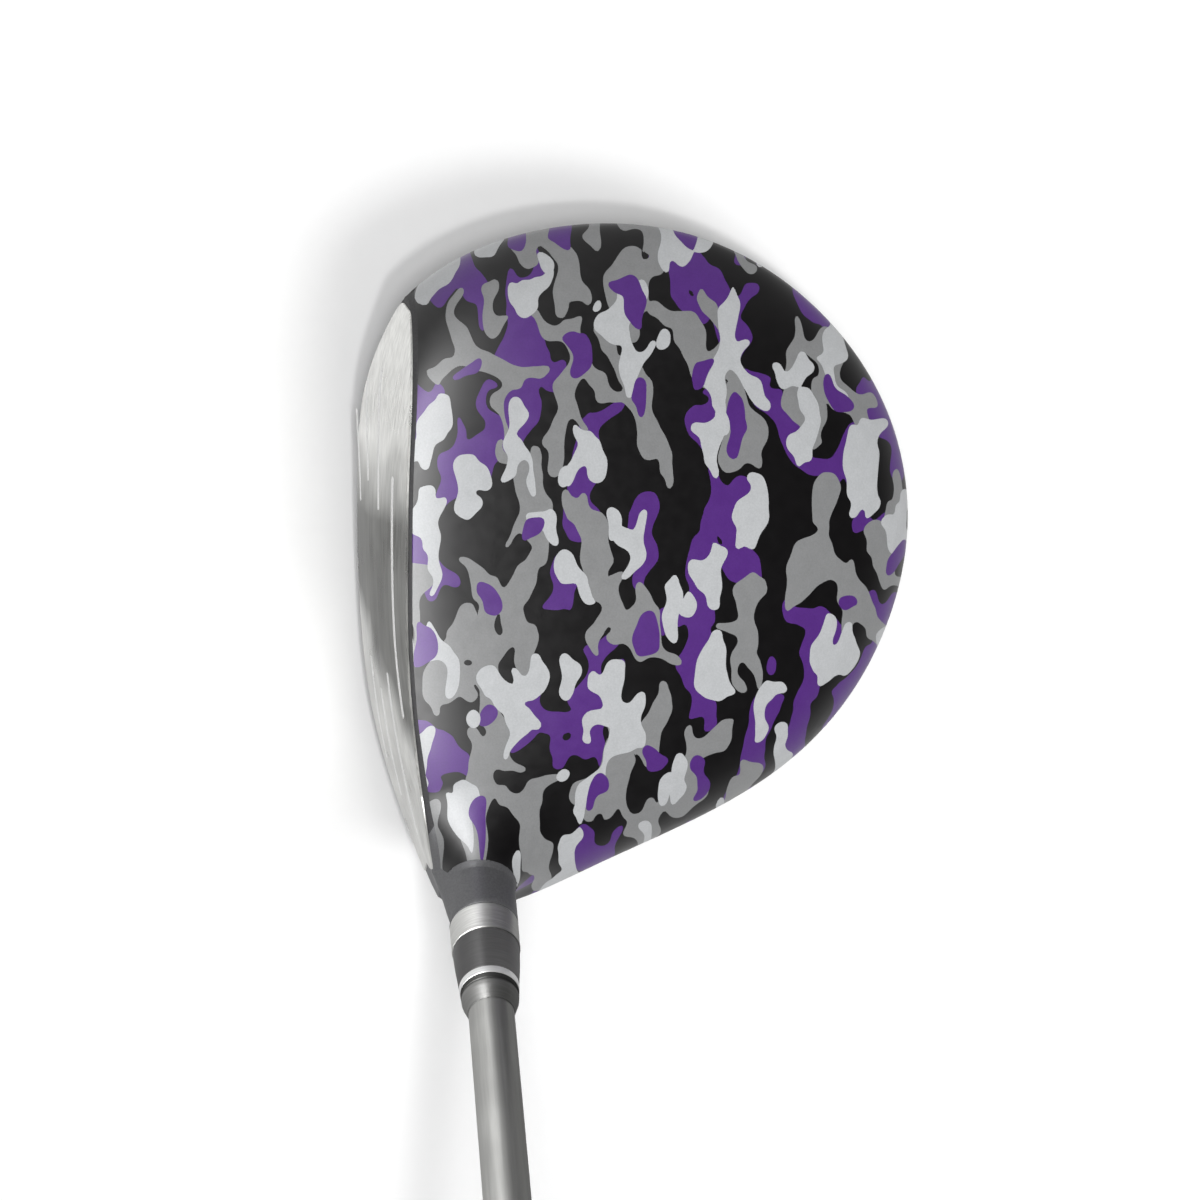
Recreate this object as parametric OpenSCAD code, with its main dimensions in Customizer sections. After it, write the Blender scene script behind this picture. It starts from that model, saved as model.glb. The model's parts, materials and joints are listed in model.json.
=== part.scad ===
// Golf driver: hollow head with a printed crown, quick-release shaft sleeve, shaft and grip.
// Millimetres. The sole rests on Z = 0, the face looks along -Y, the toe is at -X,
// and the shaft leans up towards +X, over the player.

/* [Head] */
// Height of the crown's top above the ground
crown_top = 60; // [58:0.5:62]
// Heel to toe radius of the crown dome
crown_arc_x = 86; // [84:1:92]
// Face to back radius of the crown dome
crown_arc_y = 150; // [140:5:170]
// Heel to toe radius of the sole
sole_arc_x = 120; // [115:5:140]
// Face to back radius of the sole
sole_arc_y = 190; // [180:5:220]
// How deep the flat under the sole cuts into its curve
keel_cut = 0.35; // [0.2:0.05:0.5]
// Thickness of the cast sole
sole_wall = 1.2; // [1:0.1:1.5]
// Thickness of the cast skirt where the crown panel sits on it
rim_wall = 2; // [1.8:0.1:2.4]
// Thickness of the moulded crown panel
crown_wall = 1.2; // [0.8:0.1:1.4]
// Thickness of the printed film over the crown panel
film_wall = 0.35; // [0.2:0.05:0.35]

/* [Face] */
// Loft of the face from upright, in degrees
loft = 10.5; // [9:0.5:12]
// Depth at which the face's plane meets the ground
face_foot = -29.8; // [-30.5:0.1:-29]
// Heel to toe bulge radius of the face
bulge_r = 190; // [185:5:230]
// Top to bottom roll radius of the face
roll_r = 300; // [280:10:360]
// Thickness of the face
face_wall = 2.8; // [2.4:0.1:3.2]
// Width of a score line
score_w = 1.6; // [0.8:0.1:2]

/* [Hosel] */
// Lie angle of the shaft from the ground, in degrees
lie = 57; // [56:0.5:58]
// Outside radius of the hosel
hosel_r = 6.5; // [6.4:0.05:6.7]
// Distance along the shaft's axis from the ground to the hosel's mouth
hosel_end = 68; // [66:0.5:70]
// Radius of the hosel's bore
hosel_bore_r = 5; // [4.98:0.01:5.02]
// Pitch radius of the sleeve's locking teeth
tooth_r = 5.5; // [5.4:0.05:5.6]
// Number of locking teeth round the sleeve
tooth_count = 8; // [4, 8, 12]

/* [Shaft and grip] */
// Radius of the shaft's parallel tip
shaft_tip_r = 4.25; // [4.2:0.01:4.28]
// Radius of the shaft under the grip
shaft_butt_r = 7.6; // [7.3:0.1:7.7]
// Length of the club, from the ground under the heel along the shaft's axis
club_length = 1152; // [1110:1:1170]
// Length of the rubber grip
grip_length = 268; // [250:1:280]
// Radius of the grip at its butt
grip_butt_r = 13.4; // [12.8:0.1:14]
// Radius of the grip at its mouth
grip_mouth_r = 8.7; // [8.4:0.1:9]

/* [Rear weight] */
// Radius of the weight
weight_r = 10.5; // [9.5:0.1:11]
// Thickness of the weight
weight_h = 5; // [4.5:0.1:5.4]

/* [Hidden] */
$fn = 64;

// Control points of the widest line round the head, heel first, then back, toe and front.
// The front ones lie ahead of the face, which cuts the closed shape off.
rim_points = [
    [65, -4.5, 27], [54.5, 17.5, 27], [43.5, 48.5, 26], [25.5, 70.5, 25], [-4, 83, 25],
    [-32.5, 79.5, 26], [-56, 62.5, 28], [-70, 38, 30], [-70.6, 8, 31], [-59.5, -17.8, 31],
    [-32, -33.7, 30], [4.5, -37, 30], [38.5, -33, 29], [60, -18.4, 28]];
middle = [-5, 18];              // plan point that the head's surfaces fan out from
crown_peak = [-6, -2];          // plan point under the crown's top
crown_shoulder = 7;             // power that keeps the crown's rounding close to the rim
sole_shoulder = 5;              // the same for the sole
face_middle_z = 30;             // height where the face's roll is centred
columns = 64;                   // points round the head
rings = 9;                      // rings from the middle to the rim
face_columns = 22;              // columns along the face
face_rows = 5;                  // rows up the face
gap = 0.05;                     // clearance between pieces that are bonded or welded
film_gap = 0.15;                // glue layer between the film and the crown panel
search_steps = 18;              // halvings used to find where a surface meets the face

shaft_foot = [24, -6.8, 0];     // where the shaft's axis meets the ground
hosel_foot = 46;                // start of the hosel outside the head, along the axis
hosel_flare_r = 7.8;            // radius of the hosel where it leaves the crown
hosel_cut_r = hosel_flare_r + gap;
port_r = 4.9;                   // radius of the bolt's port below its seat
seat_low = 27.5;                // underside of the bolt's seat, along the axis
seat_high = 31;                 // top of the bolt's seat
bolt_r = 2.45;                  // bolt shank, in a thread hole of 2.5
bolt_end = 44.5;                // tip of the bolt
sleeve_low = 36;                // lower end of the sleeve
sleeve_r = 4.95;                // outside of the sleeve in the hosel's bore
shaft_low = 47.5;               // lower end of the shaft, inside the sleeve
collar_end = hosel_end + 6.7;   // top of the sleeve's bright collar
ferrule_end = collar_end + 9.4; // top of the dark ferrule
ring_end = ferrule_end + 1.6;   // top of the bright trim ring
cap_end = ring_end + 5.4;       // top of the ferrule's end cap
tip_end = 170;                  // end of the shaft's parallel tip
butt_start = 840;               // start of the shaft's parallel butt
grip_top = club_length - 6;     // where the end cap starts
grip_low = grip_top - grip_length;
tape_wall = 0.15;
grip_bore_r = shaft_butt_r + tape_wall + 0.1;

weight_place = [-4, 61, 10.7];  // middle of the weight's port, on the sole
weight_tilt = 20;               // how far the port leans back
boss_floor = 5.6;               // depth of the weight's pocket
boss_end = 11.6;                // depth of the threaded boss

// Swells of the face along its top and bottom edges: [amount, heel to toe place, width]
high_swells = [[0.53, -50, 20], [-0.49, -25, 20], [-0.87, 8, 20], [-0.36, 35, 20]];
low_swells = [[-2.56, -43, 16], [0.49, 0, 16], [0.71, 50, 16]];

// [height at the middle, heel or toe start, end] of each score line, which bow upwards
score_rows = [
    [17, -35.5, -17.5], [27, -42, -22], [37, -44, -17], [48.5, -24, 22],
    [21.5, 12.5, 33.5], [30, 18, 40], [39, 14, 46]];
score_bow_r = 140;
score_middle = 2;
score_steps = 12;
score_deep = 0.1;
score_gap = 0.03;

rib_turns = [0.1, 0.36, 0.6];   // places round the head that the inner ribs point at
rib_wall = 1.2;
rib_tall = 6;

painted_dark = "#3b3c3f";
steel = "#b9bcb9";

// ---- head surfaces ----

// Weights of a uniform cubic B-spline at a fraction f of one span.
function spline_weights(f) = [
    pow(1 - f, 3) / 6,
    (3 * pow(f, 3) - 6 * pow(f, 2) + 4) / 6,
    (-3 * pow(f, 3) + 3 * pow(f, 2) + 3 * f + 1) / 6,
    pow(f, 3) / 6];

// Point on the rim at u, from 0 to 1 round the head.
function rim(u) =
    let (n = len(rim_points), t = u * n, i = floor(t), w = spline_weights(t - i))
    w[0] * rim_points[(i + n - 1) % n] + w[1] * rim_points[i % n]
    + w[2] * rim_points[(i + 1) % n] + w[3] * rim_points[(i + 2) % n];

// The same point moved inwards by inset.
function inner_rim(u, inset) =
    let (p = rim(u), d = [p.x - middle.x, p.y - middle.y], k = 1 - inset / norm(d))
    [middle.x + d.x * k, middle.y + d.y * k, p.z];

function crown_dome(x, y) = crown_top - pow(x - crown_peak.x, 2) / (2 * crown_arc_x)
    - pow(y - crown_peak.y, 2) / (2 * crown_arc_y);
function sole_bowl(x, y) =
    pow(x, 2) / (2 * sole_arc_x) + pow(y, 2) / (2 * sole_arc_y) - keel_cut;

// How far a surface has turned from its dome to its rim at s, from 0 to 1.
function shoulder(s, power) = 1 - sqrt(max(0, 1 - pow(s, power)));

// Point at s from the middle to the rim, on the crown sunk by depth.
function crown_point(s, u, depth) =
    let (p = inner_rim(u, depth), x = middle.x + s * (p.x - middle.x),
        y = middle.y + s * (p.y - middle.y), drop = crown_dome(p.x, p.y) - depth - p.z)
    [x, y, crown_dome(x, y) - depth - drop * shoulder(s, crown_shoulder)];

// The same on the sole, with a wall of thickness wall at the bottom and inset at the rim.
function sole_point(s, u, wall, inset) =
    let (p = inner_rim(u, inset), x = middle.x + s * (p.x - middle.x),
        y = middle.y + s * (p.y - middle.y), rise = p.z - sole_bowl(p.x, p.y) - wall)
    [x, y, sole_bowl(x, y) + wall + rise * shoulder(s, sole_shoulder)];

// Depth of the face's front at a width x and a height z.
function face_y(x, z) = face_foot + z * tan(loft) + pow(x, 2) / (2 * bulge_r)
    + pow(z - face_middle_z, 2) / (2 * roll_r) + face_twist(x, min(1, max(0, (z - 12) / 42)));
function face_twist(x, share) = share * swells(x, high_swells) + (1 - share) * swells(x, low_swells);
function swells(x, list) =
    [for (a = list) a[0] * exp(-pow((x - a[1]) / a[2], 2))] * [for (a = list) 1];
function behind_face(p, depth) = p.y - face_y(p.x, p.z) - depth;

// Largest s at which a surface is still behind the face by depth.
function crown_reach(u, sink, depth) =
    behind_face(crown_point(1, u, sink), depth) >= 0 ? 1
    : crown_search(u, sink, depth, 0, 1, search_steps);
function crown_search(u, sink, depth, low, high, steps) =
    steps == 0 ? low
    : let (s = (low + high) / 2)
    behind_face(crown_point(s, u, sink), depth) >= 0
    ? crown_search(u, sink, depth, s, high, steps - 1)
    : crown_search(u, sink, depth, low, s, steps - 1);
function sole_reach(u, wall, inset, depth) =
    behind_face(sole_point(1, u, wall, inset), depth) >= 0 ? 1
    : sole_search(u, wall, inset, depth, 0, 1, search_steps);
function sole_search(u, wall, inset, depth, low, high, steps) =
    steps == 0 ? low
    : let (s = (low + high) / 2)
    behind_face(sole_point(s, u, wall, inset), depth) >= 0
    ? sole_search(u, wall, inset, depth, s, high, steps - 1)
    : sole_search(u, wall, inset, depth, low, s, steps - 1);

// Where the rim passes through the face, between u = behind and u = ahead.
function rim_meets_face(behind, ahead, depth, steps = search_steps) =
    steps == 0 ? (behind + ahead) / 2
    : let (u = (behind + ahead) / 2)
    behind_face(rim(u), depth) >= 0
    ? rim_meets_face(u, ahead, depth, steps - 1)
    : rim_meets_face(behind, u, depth, steps - 1);

function turns() = [for (i = [0:columns - 1]) i / columns];
// Ring positions, close together where the surface turns down at the rim.
function ring_at(j) = sin(90 * j / rings);

shell_front = face_wall + gap;

function crown_rings(sink) = [
    for (j = [1:rings])
        [for (u = turns()) crown_point(ring_at(j) * crown_reach(u, sink, shell_front), u, sink)]];
function sole_rings(wall, inset) = [
    for (j = [1:rings])
        [for (u = turns())
            sole_point(ring_at(j) * sole_reach(u, wall, inset, shell_front), u, wall, inset)]];

function joined(lists) = [for (a = lists) for (b = a) b];
function backwards(list) = [for (i = [len(list) - 1:-1:0]) list[i]];
function lifted(ring, up) = [for (p = ring) [p.x, p.y, p.z + up]];

// Closed solid from rings of points, with one point closing each end.
module ringed_solid(ring_list, first, last) {
    n = len(ring_list[0]);
    m = len(ring_list);
    end = n * m + 1;
    polyhedron(
        points = concat([first], joined(ring_list), [last]),
        faces = concat(
            [for (i = [0:n - 1]) [0, 1 + i, 1 + (i + 1) % n]],
            joined([for (j = [0:m - 2]) for (i = [0:n - 1])
                let (a = 1 + j * n + i, b = 1 + j * n + (i + 1) % n)
                [[a, a + n, b + n], [a, b + n, b]]]),
            [for (i = [0:n - 1]) [end - n + i, end, end - n + (i + 1) % n]]),
        convexity = 8);
}

// Closed band from rings of points, the last joined back to the first.
module ringed_band(ring_list) {
    n = len(ring_list[0]);
    m = len(ring_list);
    polyhedron(
        points = joined(ring_list),
        faces = joined([for (j = [0:m - 1]) for (i = [0:n - 1])
            let (a = j * n + i, b = j * n + (i + 1) % n,
                c = ((j + 1) % m) * n + i, d = ((j + 1) % m) * n + (i + 1) % n)
            [[a, c, d], [a, d, b]]]),
        convexity = 8);
}

// Thin solid between two depths of the crown.
module crown_layer(outer, inner) {
    ringed_solid(
        concat(crown_rings(inner), backwards(crown_rings(outer))),
        crown_point(0, 0, inner), crown_point(0, 0, outer));
}

// ---- placing ----

module along_shaft(distance = 0) {
    translate(shaft_foot) rotate([0, 90 - lie, 0]) translate([0, 0, distance]) children();
}

module at_weight() {
    translate(weight_place) rotate([weight_tilt, 0, 0]) children();
}

// Turned piece from a closed outline of [radius, distance along the axis].
module turned(outline) {
    rotate_extrude() polygon(outline);
}

// Tube between two distances along an axis.
module tube(low, high, outer, inner) {
    turned([[inner, low], [outer, low], [outer, high], [inner, high]]);
}

module star_socket(radius, deep) {
    for (turn = [0, 60, 120])
        rotate(turn) translate([-radius, -radius / 3, 0]) cube([2 * radius, radius / 1.5, deep]);
    cylinder(r = radius * 0.72, h = deep);
}

// ---- shaft side ----

module shaft() {
    color("#7d7f82") along_shaft()
        turned([
            [2.6, shaft_low], [shaft_tip_r, shaft_low], [shaft_tip_r, tip_end],
            [shaft_butt_r, butt_start], [shaft_butt_r, grip_top - 1],
            [shaft_butt_r - 0.9, grip_top - 1], [shaft_butt_r - 0.9, butt_start],
            [2.6, tip_end]]);
}

module loft_sleeve() {
    color(steel) along_shaft() difference() {
        union() {
            turned([
                [0, sleeve_low], [sleeve_r - 0.4, sleeve_low], [sleeve_r, sleeve_low + 0.4],
                [sleeve_r, hosel_end + gap], [hosel_r, hosel_end + gap],
                [hosel_r - 0.15, collar_end], [0, collar_end]]);
            for (i = [0:tooth_count - 1])
                rotate(i * 360 / tooth_count) translate([sleeve_r - 0.4, -0.6, hosel_end - 5])
                    cube([tooth_r - sleeve_r + 0.4, 1.2, 5.02]);
        }
        translate([0, 0, shaft_low - 0.3]) cylinder(r = shaft_tip_r + gap, h = 100);
        translate([0, 0, sleeve_low - 1]) cylinder(r = 2.5, h = 11);
    }
}

module ferrule() {
    color("#2b2c2e") along_shaft()
        turned([
            [shaft_tip_r + gap, collar_end + 0.02], [hosel_r - 0.2, collar_end + 0.02],
            [hosel_r - 0.45, collar_end + 4.4], [hosel_r - 0.9, ferrule_end],
            [shaft_tip_r + gap, ferrule_end]]);
}

module trim_ring() {
    color("#d9dbdc") along_shaft()
        tube(ferrule_end + 0.02, ring_end, hosel_r - 0.92, shaft_tip_r + gap);
}

module ferrule_cap() {
    color("#2b2c2e") along_shaft()
        turned([
            [shaft_tip_r + gap, ring_end + 0.02], [hosel_r - 1.05, ring_end + 0.02],
            [hosel_r - 1.15, ring_end + 1.4], [hosel_r - 1.35, ring_end + 1.6],
            [hosel_r - 1.45, cap_end - 2.6], [hosel_r - 1.8, cap_end - 0.7],
            [shaft_tip_r + gap, cap_end]]);
}

module grip_tape() {
    color("#e8e4d8") along_shaft()
        tube(grip_low + 4, grip_top - 1, shaft_butt_r + gap + tape_wall, shaft_butt_r + gap);
}

module grip() {
    color("#1d1d1f") along_shaft()
        turned([
            [grip_bore_r, grip_low], [grip_mouth_r - 0.4, grip_low],
            [grip_mouth_r, grip_low + 1], [grip_mouth_r + 0.5, grip_low + 60],
            [(grip_mouth_r + grip_butt_r) / 2 + 0.3, grip_low + grip_length * 0.72],
            [grip_butt_r - 0.6, grip_top - 12], [grip_butt_r, grip_top - 0.1],
            [grip_bore_r, grip_top - 0.1]]);
}

module grip_end_cap() {
    color("#1d1d1f") along_shaft() difference() {
        union() {
            translate([0, 0, grip_top]) cylinder(r = grip_butt_r, h = 4);
            translate([0, 0, grip_top + 4])
                cylinder(r1 = grip_butt_r, r2 = grip_butt_r - 2.5, h = 2);
            translate([0, 0, grip_top - 8]) cylinder(r = shaft_butt_r - 1, h = 8.5);
        }
        translate([0, 0, grip_top - 9]) cylinder(r = 1.5, h = 20);
        translate([0, 0, grip_top - 9]) cylinder(r = 4, h = 8);
    }
}

// ---- head side ----

// Room that the hosel takes through the shells, from the sole to the crown.
module hosel_room() {
    along_shaft(-12) cylinder(r = hosel_r + gap, h = 40);
    along_shaft(20) cylinder(r = hosel_cut_r, h = 60);
}

module head_body() {
    color(painted_dark) difference() {
        ringed_solid(
            concat(sole_rings(0, 0), backwards(sole_rings(sole_wall, rim_wall))),
            sole_point(0, 0, 0, 0), sole_point(0, 0, sole_wall, rim_wall));
        translate([-100, -100, -20]) cube([200, 200, 20]);
        hosel_room();
        at_weight() translate([0, 0, -10])
            cylinder(r = weight_r + 1.35 + gap, h = 20);
    }
}

module crown() {
    color("#232326") difference() {
        translate([0, 0, gap])
            crown_layer(film_wall + film_gap, film_wall + film_gap + crown_wall);
        hosel_room();
    }
}

module crown_film() {
    color("#6f3fa0") difference() {
        translate([0, 0, gap]) crown_layer(0, film_wall);
        hosel_room();
    }
}

// Bead of glue that bonds the crown's underside to the skirt.
module crown_adhesive() {
    deep = film_wall + film_gap + crown_wall + 2 * gap;
    bead = 1.1;
    function bead_ring(s, sink) = [
        for (u = turns())
            crown_point(s * crown_reach(u, sink, face_wall + 1), u, sink)];
    color("#c9b458") difference() {
        ringed_band([bead_ring(0.985, deep + bead), bead_ring(0.985, deep),
            bead_ring(0.93, deep), bead_ring(0.93, deep + bead)]);
        hosel_room();
    }
}

module face_cup() {
    function ends(depth) = [
        rim_meets_face(0.5, 0.8, depth), rim_meets_face(1, 0.85, depth)];
    function column(u, depth) =
        let (top = crown_point(crown_reach(u, 0, depth), u, 0),
            low = sole_point(sole_reach(u, 0, 0, depth), u, 0, 0))
        [for (k = [0:face_rows])
            let (f = k / face_rows, x = low.x + f * (top.x - low.x),
                z = low.z + f * (top.z - low.z))
            [x, face_y(x, z) + depth, z]];
    front = ends(0);
    back = ends(face_wall);
    function place(span, i) = span[0] + (span[1] - span[0]) * (1 - cos(180 * i / face_columns)) / 2;
    loops = [for (i = [1:face_columns - 1])
        concat(column(place(front, i), 0), backwards(column(place(back, i), face_wall)))];
    color(steel) difference() {
        ringed_solid(loops, (rim(front[0]) + rim(back[0])) / 2, (rim(front[1]) + rim(back[1])) / 2);
        hosel_room();
    }
}

module score_paint() {
    function score_z(height, x) = height - pow(x - score_middle, 2) / (2 * score_bow_r);
    function section(height, x) =
        let (z = score_z(height, x), low = z - score_w / 2, high = z + score_w / 2,
            deep = score_gap + score_deep)
        [[x, face_y(x, low) - score_gap, low], [x, face_y(x, low) - deep, low],
            [x, face_y(x, high) - deep, high], [x, face_y(x, high) - score_gap, high]];
    color("white") for (row = score_rows) {
        sections = [for (i = [0:score_steps])
            section(row[0], row[1] + (row[2] - row[1]) * i / score_steps)];
        ringed_solid(backwards(sections),
            (sections[score_steps][0] + sections[score_steps][2]) / 2,
            (sections[0][0] + sections[0][2]) / 2);
    }
}

module hosel() {
    lip = 0.3;
    color(painted_dark) difference() {
        along_shaft() difference() {
            turned([
                [0, -10], [hosel_r, -10], [hosel_r, hosel_foot], [hosel_flare_r, hosel_foot],
                [hosel_flare_r, hosel_foot + 2], [hosel_r + 0.3, hosel_foot + 6],
                [hosel_r, hosel_foot + 10], [hosel_r, hosel_end], [0, hosel_end]]);
            translate([0, 0, seat_high]) cylinder(r = hosel_bore_r, h = 60);
            translate([0, 0, hosel_end - 5.5]) cylinder(r = tooth_r + 0.42, h = 20);
            translate([0, 0, -20]) cylinder(r = port_r, h = 20 + seat_low);
            translate([0, 0, seat_low - 1]) cylinder(r = 2.8, h = 10);
        }
        // trims the tube level with the sole round its port
        translate([27, -6.8, sole_bowl(27, -6.8) + lip])
            rotate([0, -atan(27 / sole_arc_x), 0])
                translate([-40, -40, -40]) cube([80, 80, 40]);
    }
}

module hosel_seat() {
    seat_wall = tooth_r + 0.4;
    color(steel) along_shaft() difference() {
        tube(hosel_end - 5.45, hosel_end - 0.05, seat_wall, hosel_bore_r + 0.03);
        for (i = [0:tooth_count - 1])
            rotate(i * 360 / tooth_count) translate([sleeve_r - 0.6, -0.7, hosel_end - 5.2])
                cube([tooth_r - sleeve_r + 0.68, 1.4, 10]);
    }
}

module sole_ribs() {
    clear = 0.35;
    color("#8c8f92") for (u = rib_turns) {
        edge = rim(u);
        turn = atan2(edge.y - middle.y, edge.x - middle.x);
        reach = norm([edge.x - middle.x, edge.y - middle.y]);
        steps = [0.12:0.08:0.62];
        low = [for (s = steps) [s * reach, sole_point(s, u, sole_wall, 0).z + clear]];
        translate([middle.x, middle.y, 0]) rotate([0, 0, turn]) rotate([90, 0, 0])
            linear_extrude(rib_wall, center = true)
                polygon(concat(low, backwards([for (p = low) [p.x, p.y + rib_tall]])));
    }
}

module damping_pad() {
    place = [-38, 24];
    far_side = [-46, 32];
    color("#a58b4f")
        translate([place.x, place.y, sole_bowl(far_side.x, far_side.y) + sole_wall + 1.5])
            turned([[0, 0], [7, 0], [8, 0.8], [7.6, 1.8], [5, 3], [0, 3.4]]);
}

module weight_boss() {
    wall = 1.35;
    color("#8c8f92") at_weight()
        turned([
            [weight_r + 0.1, 0.7], [weight_r + wall, 0.7], [weight_r + wall, boss_floor + 1.4],
            [4.2, boss_floor + 1.4], [4.2, boss_end], [2, boss_end], [2, boss_floor],
            [weight_r + 0.1, boss_floor]]);
}

module rear_weight() {
    color("#6c6e72") at_weight()
        turned([
            [3.8, 0.9], [weight_r - 0.6, 0.4], [weight_r, 1], [weight_r, weight_h + 0.4],
            [2.1, weight_h + 0.4], [2.1, 3.4], [3.8, 3.4]]);
}

module weight_screw() {
    color(steel) at_weight() difference() {
        turned([
            [0, 1.1], [3.3, 1.1], [3.6, 1.4], [3.6, 3.35], [1.95, 3.35],
            [1.95, boss_end - 0.6], [1.5, boss_end - 0.1], [0, boss_end - 0.1]]);
        translate([0, 0, 0.5]) star_socket(1.9, 2.2);
    }
}

module hosel_bolt() {
    color(steel) along_shaft() difference() {
        turned([
            [0, 21.5], [3.8, 21.5], [4.2, 22], [4.2, 26.45], [bolt_r, 26.45],
            [bolt_r, bolt_end - 0.5], [bolt_r - 0.5, bolt_end], [0, bolt_end]]);
        translate([0, 0, 20.5]) star_socket(2.3, 4.2);
    }
}

module bolt_washer() {
    color("#d9dbdc") along_shaft() tube(26.5, seat_low - 0.03, 4.6, bolt_r + 0.1);
}

grip();
grip_end_cap();
grip_tape();
shaft();
ferrule();
trim_ring();
ferrule_cap();
loft_sleeve();
head_body();
hosel();
hosel_seat();
crown();
crown_film();
crown_adhesive();
face_cup();
score_paint();
sole_ribs();
damping_pad();
weight_boss();
rear_weight();
weight_screw();
hosel_bolt();
bolt_washer();
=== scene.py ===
import json
import math

import bmesh
import bpy
import numpy as np
from mathutils import Matrix, Vector


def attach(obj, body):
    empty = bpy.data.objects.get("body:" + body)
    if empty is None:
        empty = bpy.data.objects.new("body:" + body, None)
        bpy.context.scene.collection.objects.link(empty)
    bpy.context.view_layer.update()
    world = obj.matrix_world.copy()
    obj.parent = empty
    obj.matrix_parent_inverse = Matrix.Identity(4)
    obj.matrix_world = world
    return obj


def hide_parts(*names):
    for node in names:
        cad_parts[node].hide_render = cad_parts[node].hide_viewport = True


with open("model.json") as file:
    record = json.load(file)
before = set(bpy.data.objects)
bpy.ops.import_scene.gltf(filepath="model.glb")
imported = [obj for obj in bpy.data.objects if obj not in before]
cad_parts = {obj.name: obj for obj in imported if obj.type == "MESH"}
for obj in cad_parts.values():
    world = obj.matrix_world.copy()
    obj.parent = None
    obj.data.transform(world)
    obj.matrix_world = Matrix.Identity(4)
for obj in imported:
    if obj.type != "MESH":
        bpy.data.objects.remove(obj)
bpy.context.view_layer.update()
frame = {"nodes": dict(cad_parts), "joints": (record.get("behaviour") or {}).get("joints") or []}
scene = bpy.context.scene
scene.view_settings.view_transform = "Standard"
MM = 0.001
TURN = 2 * math.pi

# ---- places taken from the frame, in millimetres ----

joints = {j["name"]: j for j in frame["joints"]}
SHAFT = -np.array(joints["head_release"]["axis"], float)
bolt_place = np.array(joints["bolt_turn"]["pos_m"], float) / MM
FOOT = bolt_place - SHAFT * (bolt_place[2] / SHAFT[2])
WEIGHT = -np.array(joints["weight_turn"]["axis"], float)
WEIGHT_PLACE = np.array(joints["weight_turn"]["pos_m"], float) / MM
ACROSS = np.array([-SHAFT[2], 0.0, SHAFT[0]])   # square to the shaft, up and towards the toe
BACK = np.array([0.0, 1.0, 0.0])


def node_span(node, origin=FOOT, axis=SHAFT):
    """How far a node reaches along an axis, and its largest radius round it, in mm."""
    mesh = frame["nodes"][node].data
    points = np.array([v.co for v in mesh.vertices]) / MM - origin
    along = points @ axis
    out = np.linalg.norm(points - np.outer(along, axis), axis=1)
    return along.min(), along.max(), out.max()


HOSEL_END = node_span("hosel")[1]
SLEEVE_LOW, COLLAR_END = node_span("loft_sleeve")[:2]
FERRULE_END = node_span("ferrule")[1]
RING_END = node_span("trim_ring")[1]
CAP_END = node_span("ferrule_cap")[1]
GRIP_LOW, GRIP_TOP, GRIP_R = node_span("grip")
CLUB_END = node_span("grip_end_cap")[1]
SHAFT_LOW, SHAFT_TOP, SHAFT_R = node_span("shaft")
WEIGHT_TOP, WEIGHT_R = node_span("rear_weight", WEIGHT_PLACE, WEIGHT)[1:]

# ---- the head's surfaces, by the same rules as the CAD part, in millimetres ----

RIM = np.array([
    [65, -4.5, 27], [54.5, 17.5, 27], [43.5, 48.5, 26], [25.5, 70.5, 25], [-4, 83, 25],
    [-32.5, 79.5, 26], [-56, 62.5, 28], [-70, 38, 30], [-70.6, 8, 31], [-59.5, -17.8, 31],
    [-32, -33.7, 30], [4.5, -37, 30], [38.5, -33, 29], [60, -18.4, 28]], float)
MIDDLE = np.array([-5.0, 18.0])
CROWN_TOP, CROWN_PEAK, CROWN_ARC = 60.0, (-6.0, -2.0), (86.0, 150.0)
SOLE_ARC, KEEL_CUT = (120.0, 190.0), 0.35
FACE_FOOT, LOFT, BULGE_R, ROLL_R, FACE_MIDDLE = -29.8, math.radians(10.5), 190.0, 300.0, 30.0
HIGH_SWELLS = ((0.53, -50), (-0.49, -25), (-0.87, 8), (-0.36, 35))    # amount, place; 20 wide
LOW_SWELLS = ((-2.56, -43), (0.49, 0), (0.71, 50))                    # the same; 16 wide
HOSEL_R = 6.5
PORT_R = 4.9
FILM = 0.3           # thickness of the printed film
FACE_INSET = 0.35    # how far the painted front lies behind the struck face


def rim(u):
    """Point on the widest line round the head, u from 0 to 1."""
    t = np.mod(np.asarray(u, float), 1.0) * len(RIM)
    i = np.floor(t).astype(int)
    f = (t - i)[:, None]
    weights = ((1 - f) ** 3 / 6, (3 * f**3 - 6 * f**2 + 4) / 6,
               (-3 * f**3 + 3 * f**2 + 3 * f + 1) / 6, f**3 / 6)
    return sum(w * RIM[(i + k - 1) % len(RIM)] for k, w in enumerate(weights))


def crown_dome(x, y):
    return (CROWN_TOP - (x - CROWN_PEAK[0]) ** 2 / (2 * CROWN_ARC[0])
            - (y - CROWN_PEAK[1]) ** 2 / (2 * CROWN_ARC[1]))


def sole_bowl(x, y):
    return x**2 / (2 * SOLE_ARC[0]) + y**2 / (2 * SOLE_ARC[1]) - KEEL_CUT


def plan(s, u, inset=0.0):
    """Rim points moved in by inset, and the plan points at s between the middle and them."""
    edge = rim(u)
    way = edge[:, :2] - MIDDLE
    edge[:, :2] -= way * (inset / np.linalg.norm(way, axis=1))[:, None]
    x = MIDDLE[0] + s * (edge[:, 0] - MIDDLE[0])
    y = MIDDLE[1] + s * (edge[:, 1] - MIDDLE[1])
    return edge, x, y


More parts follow.
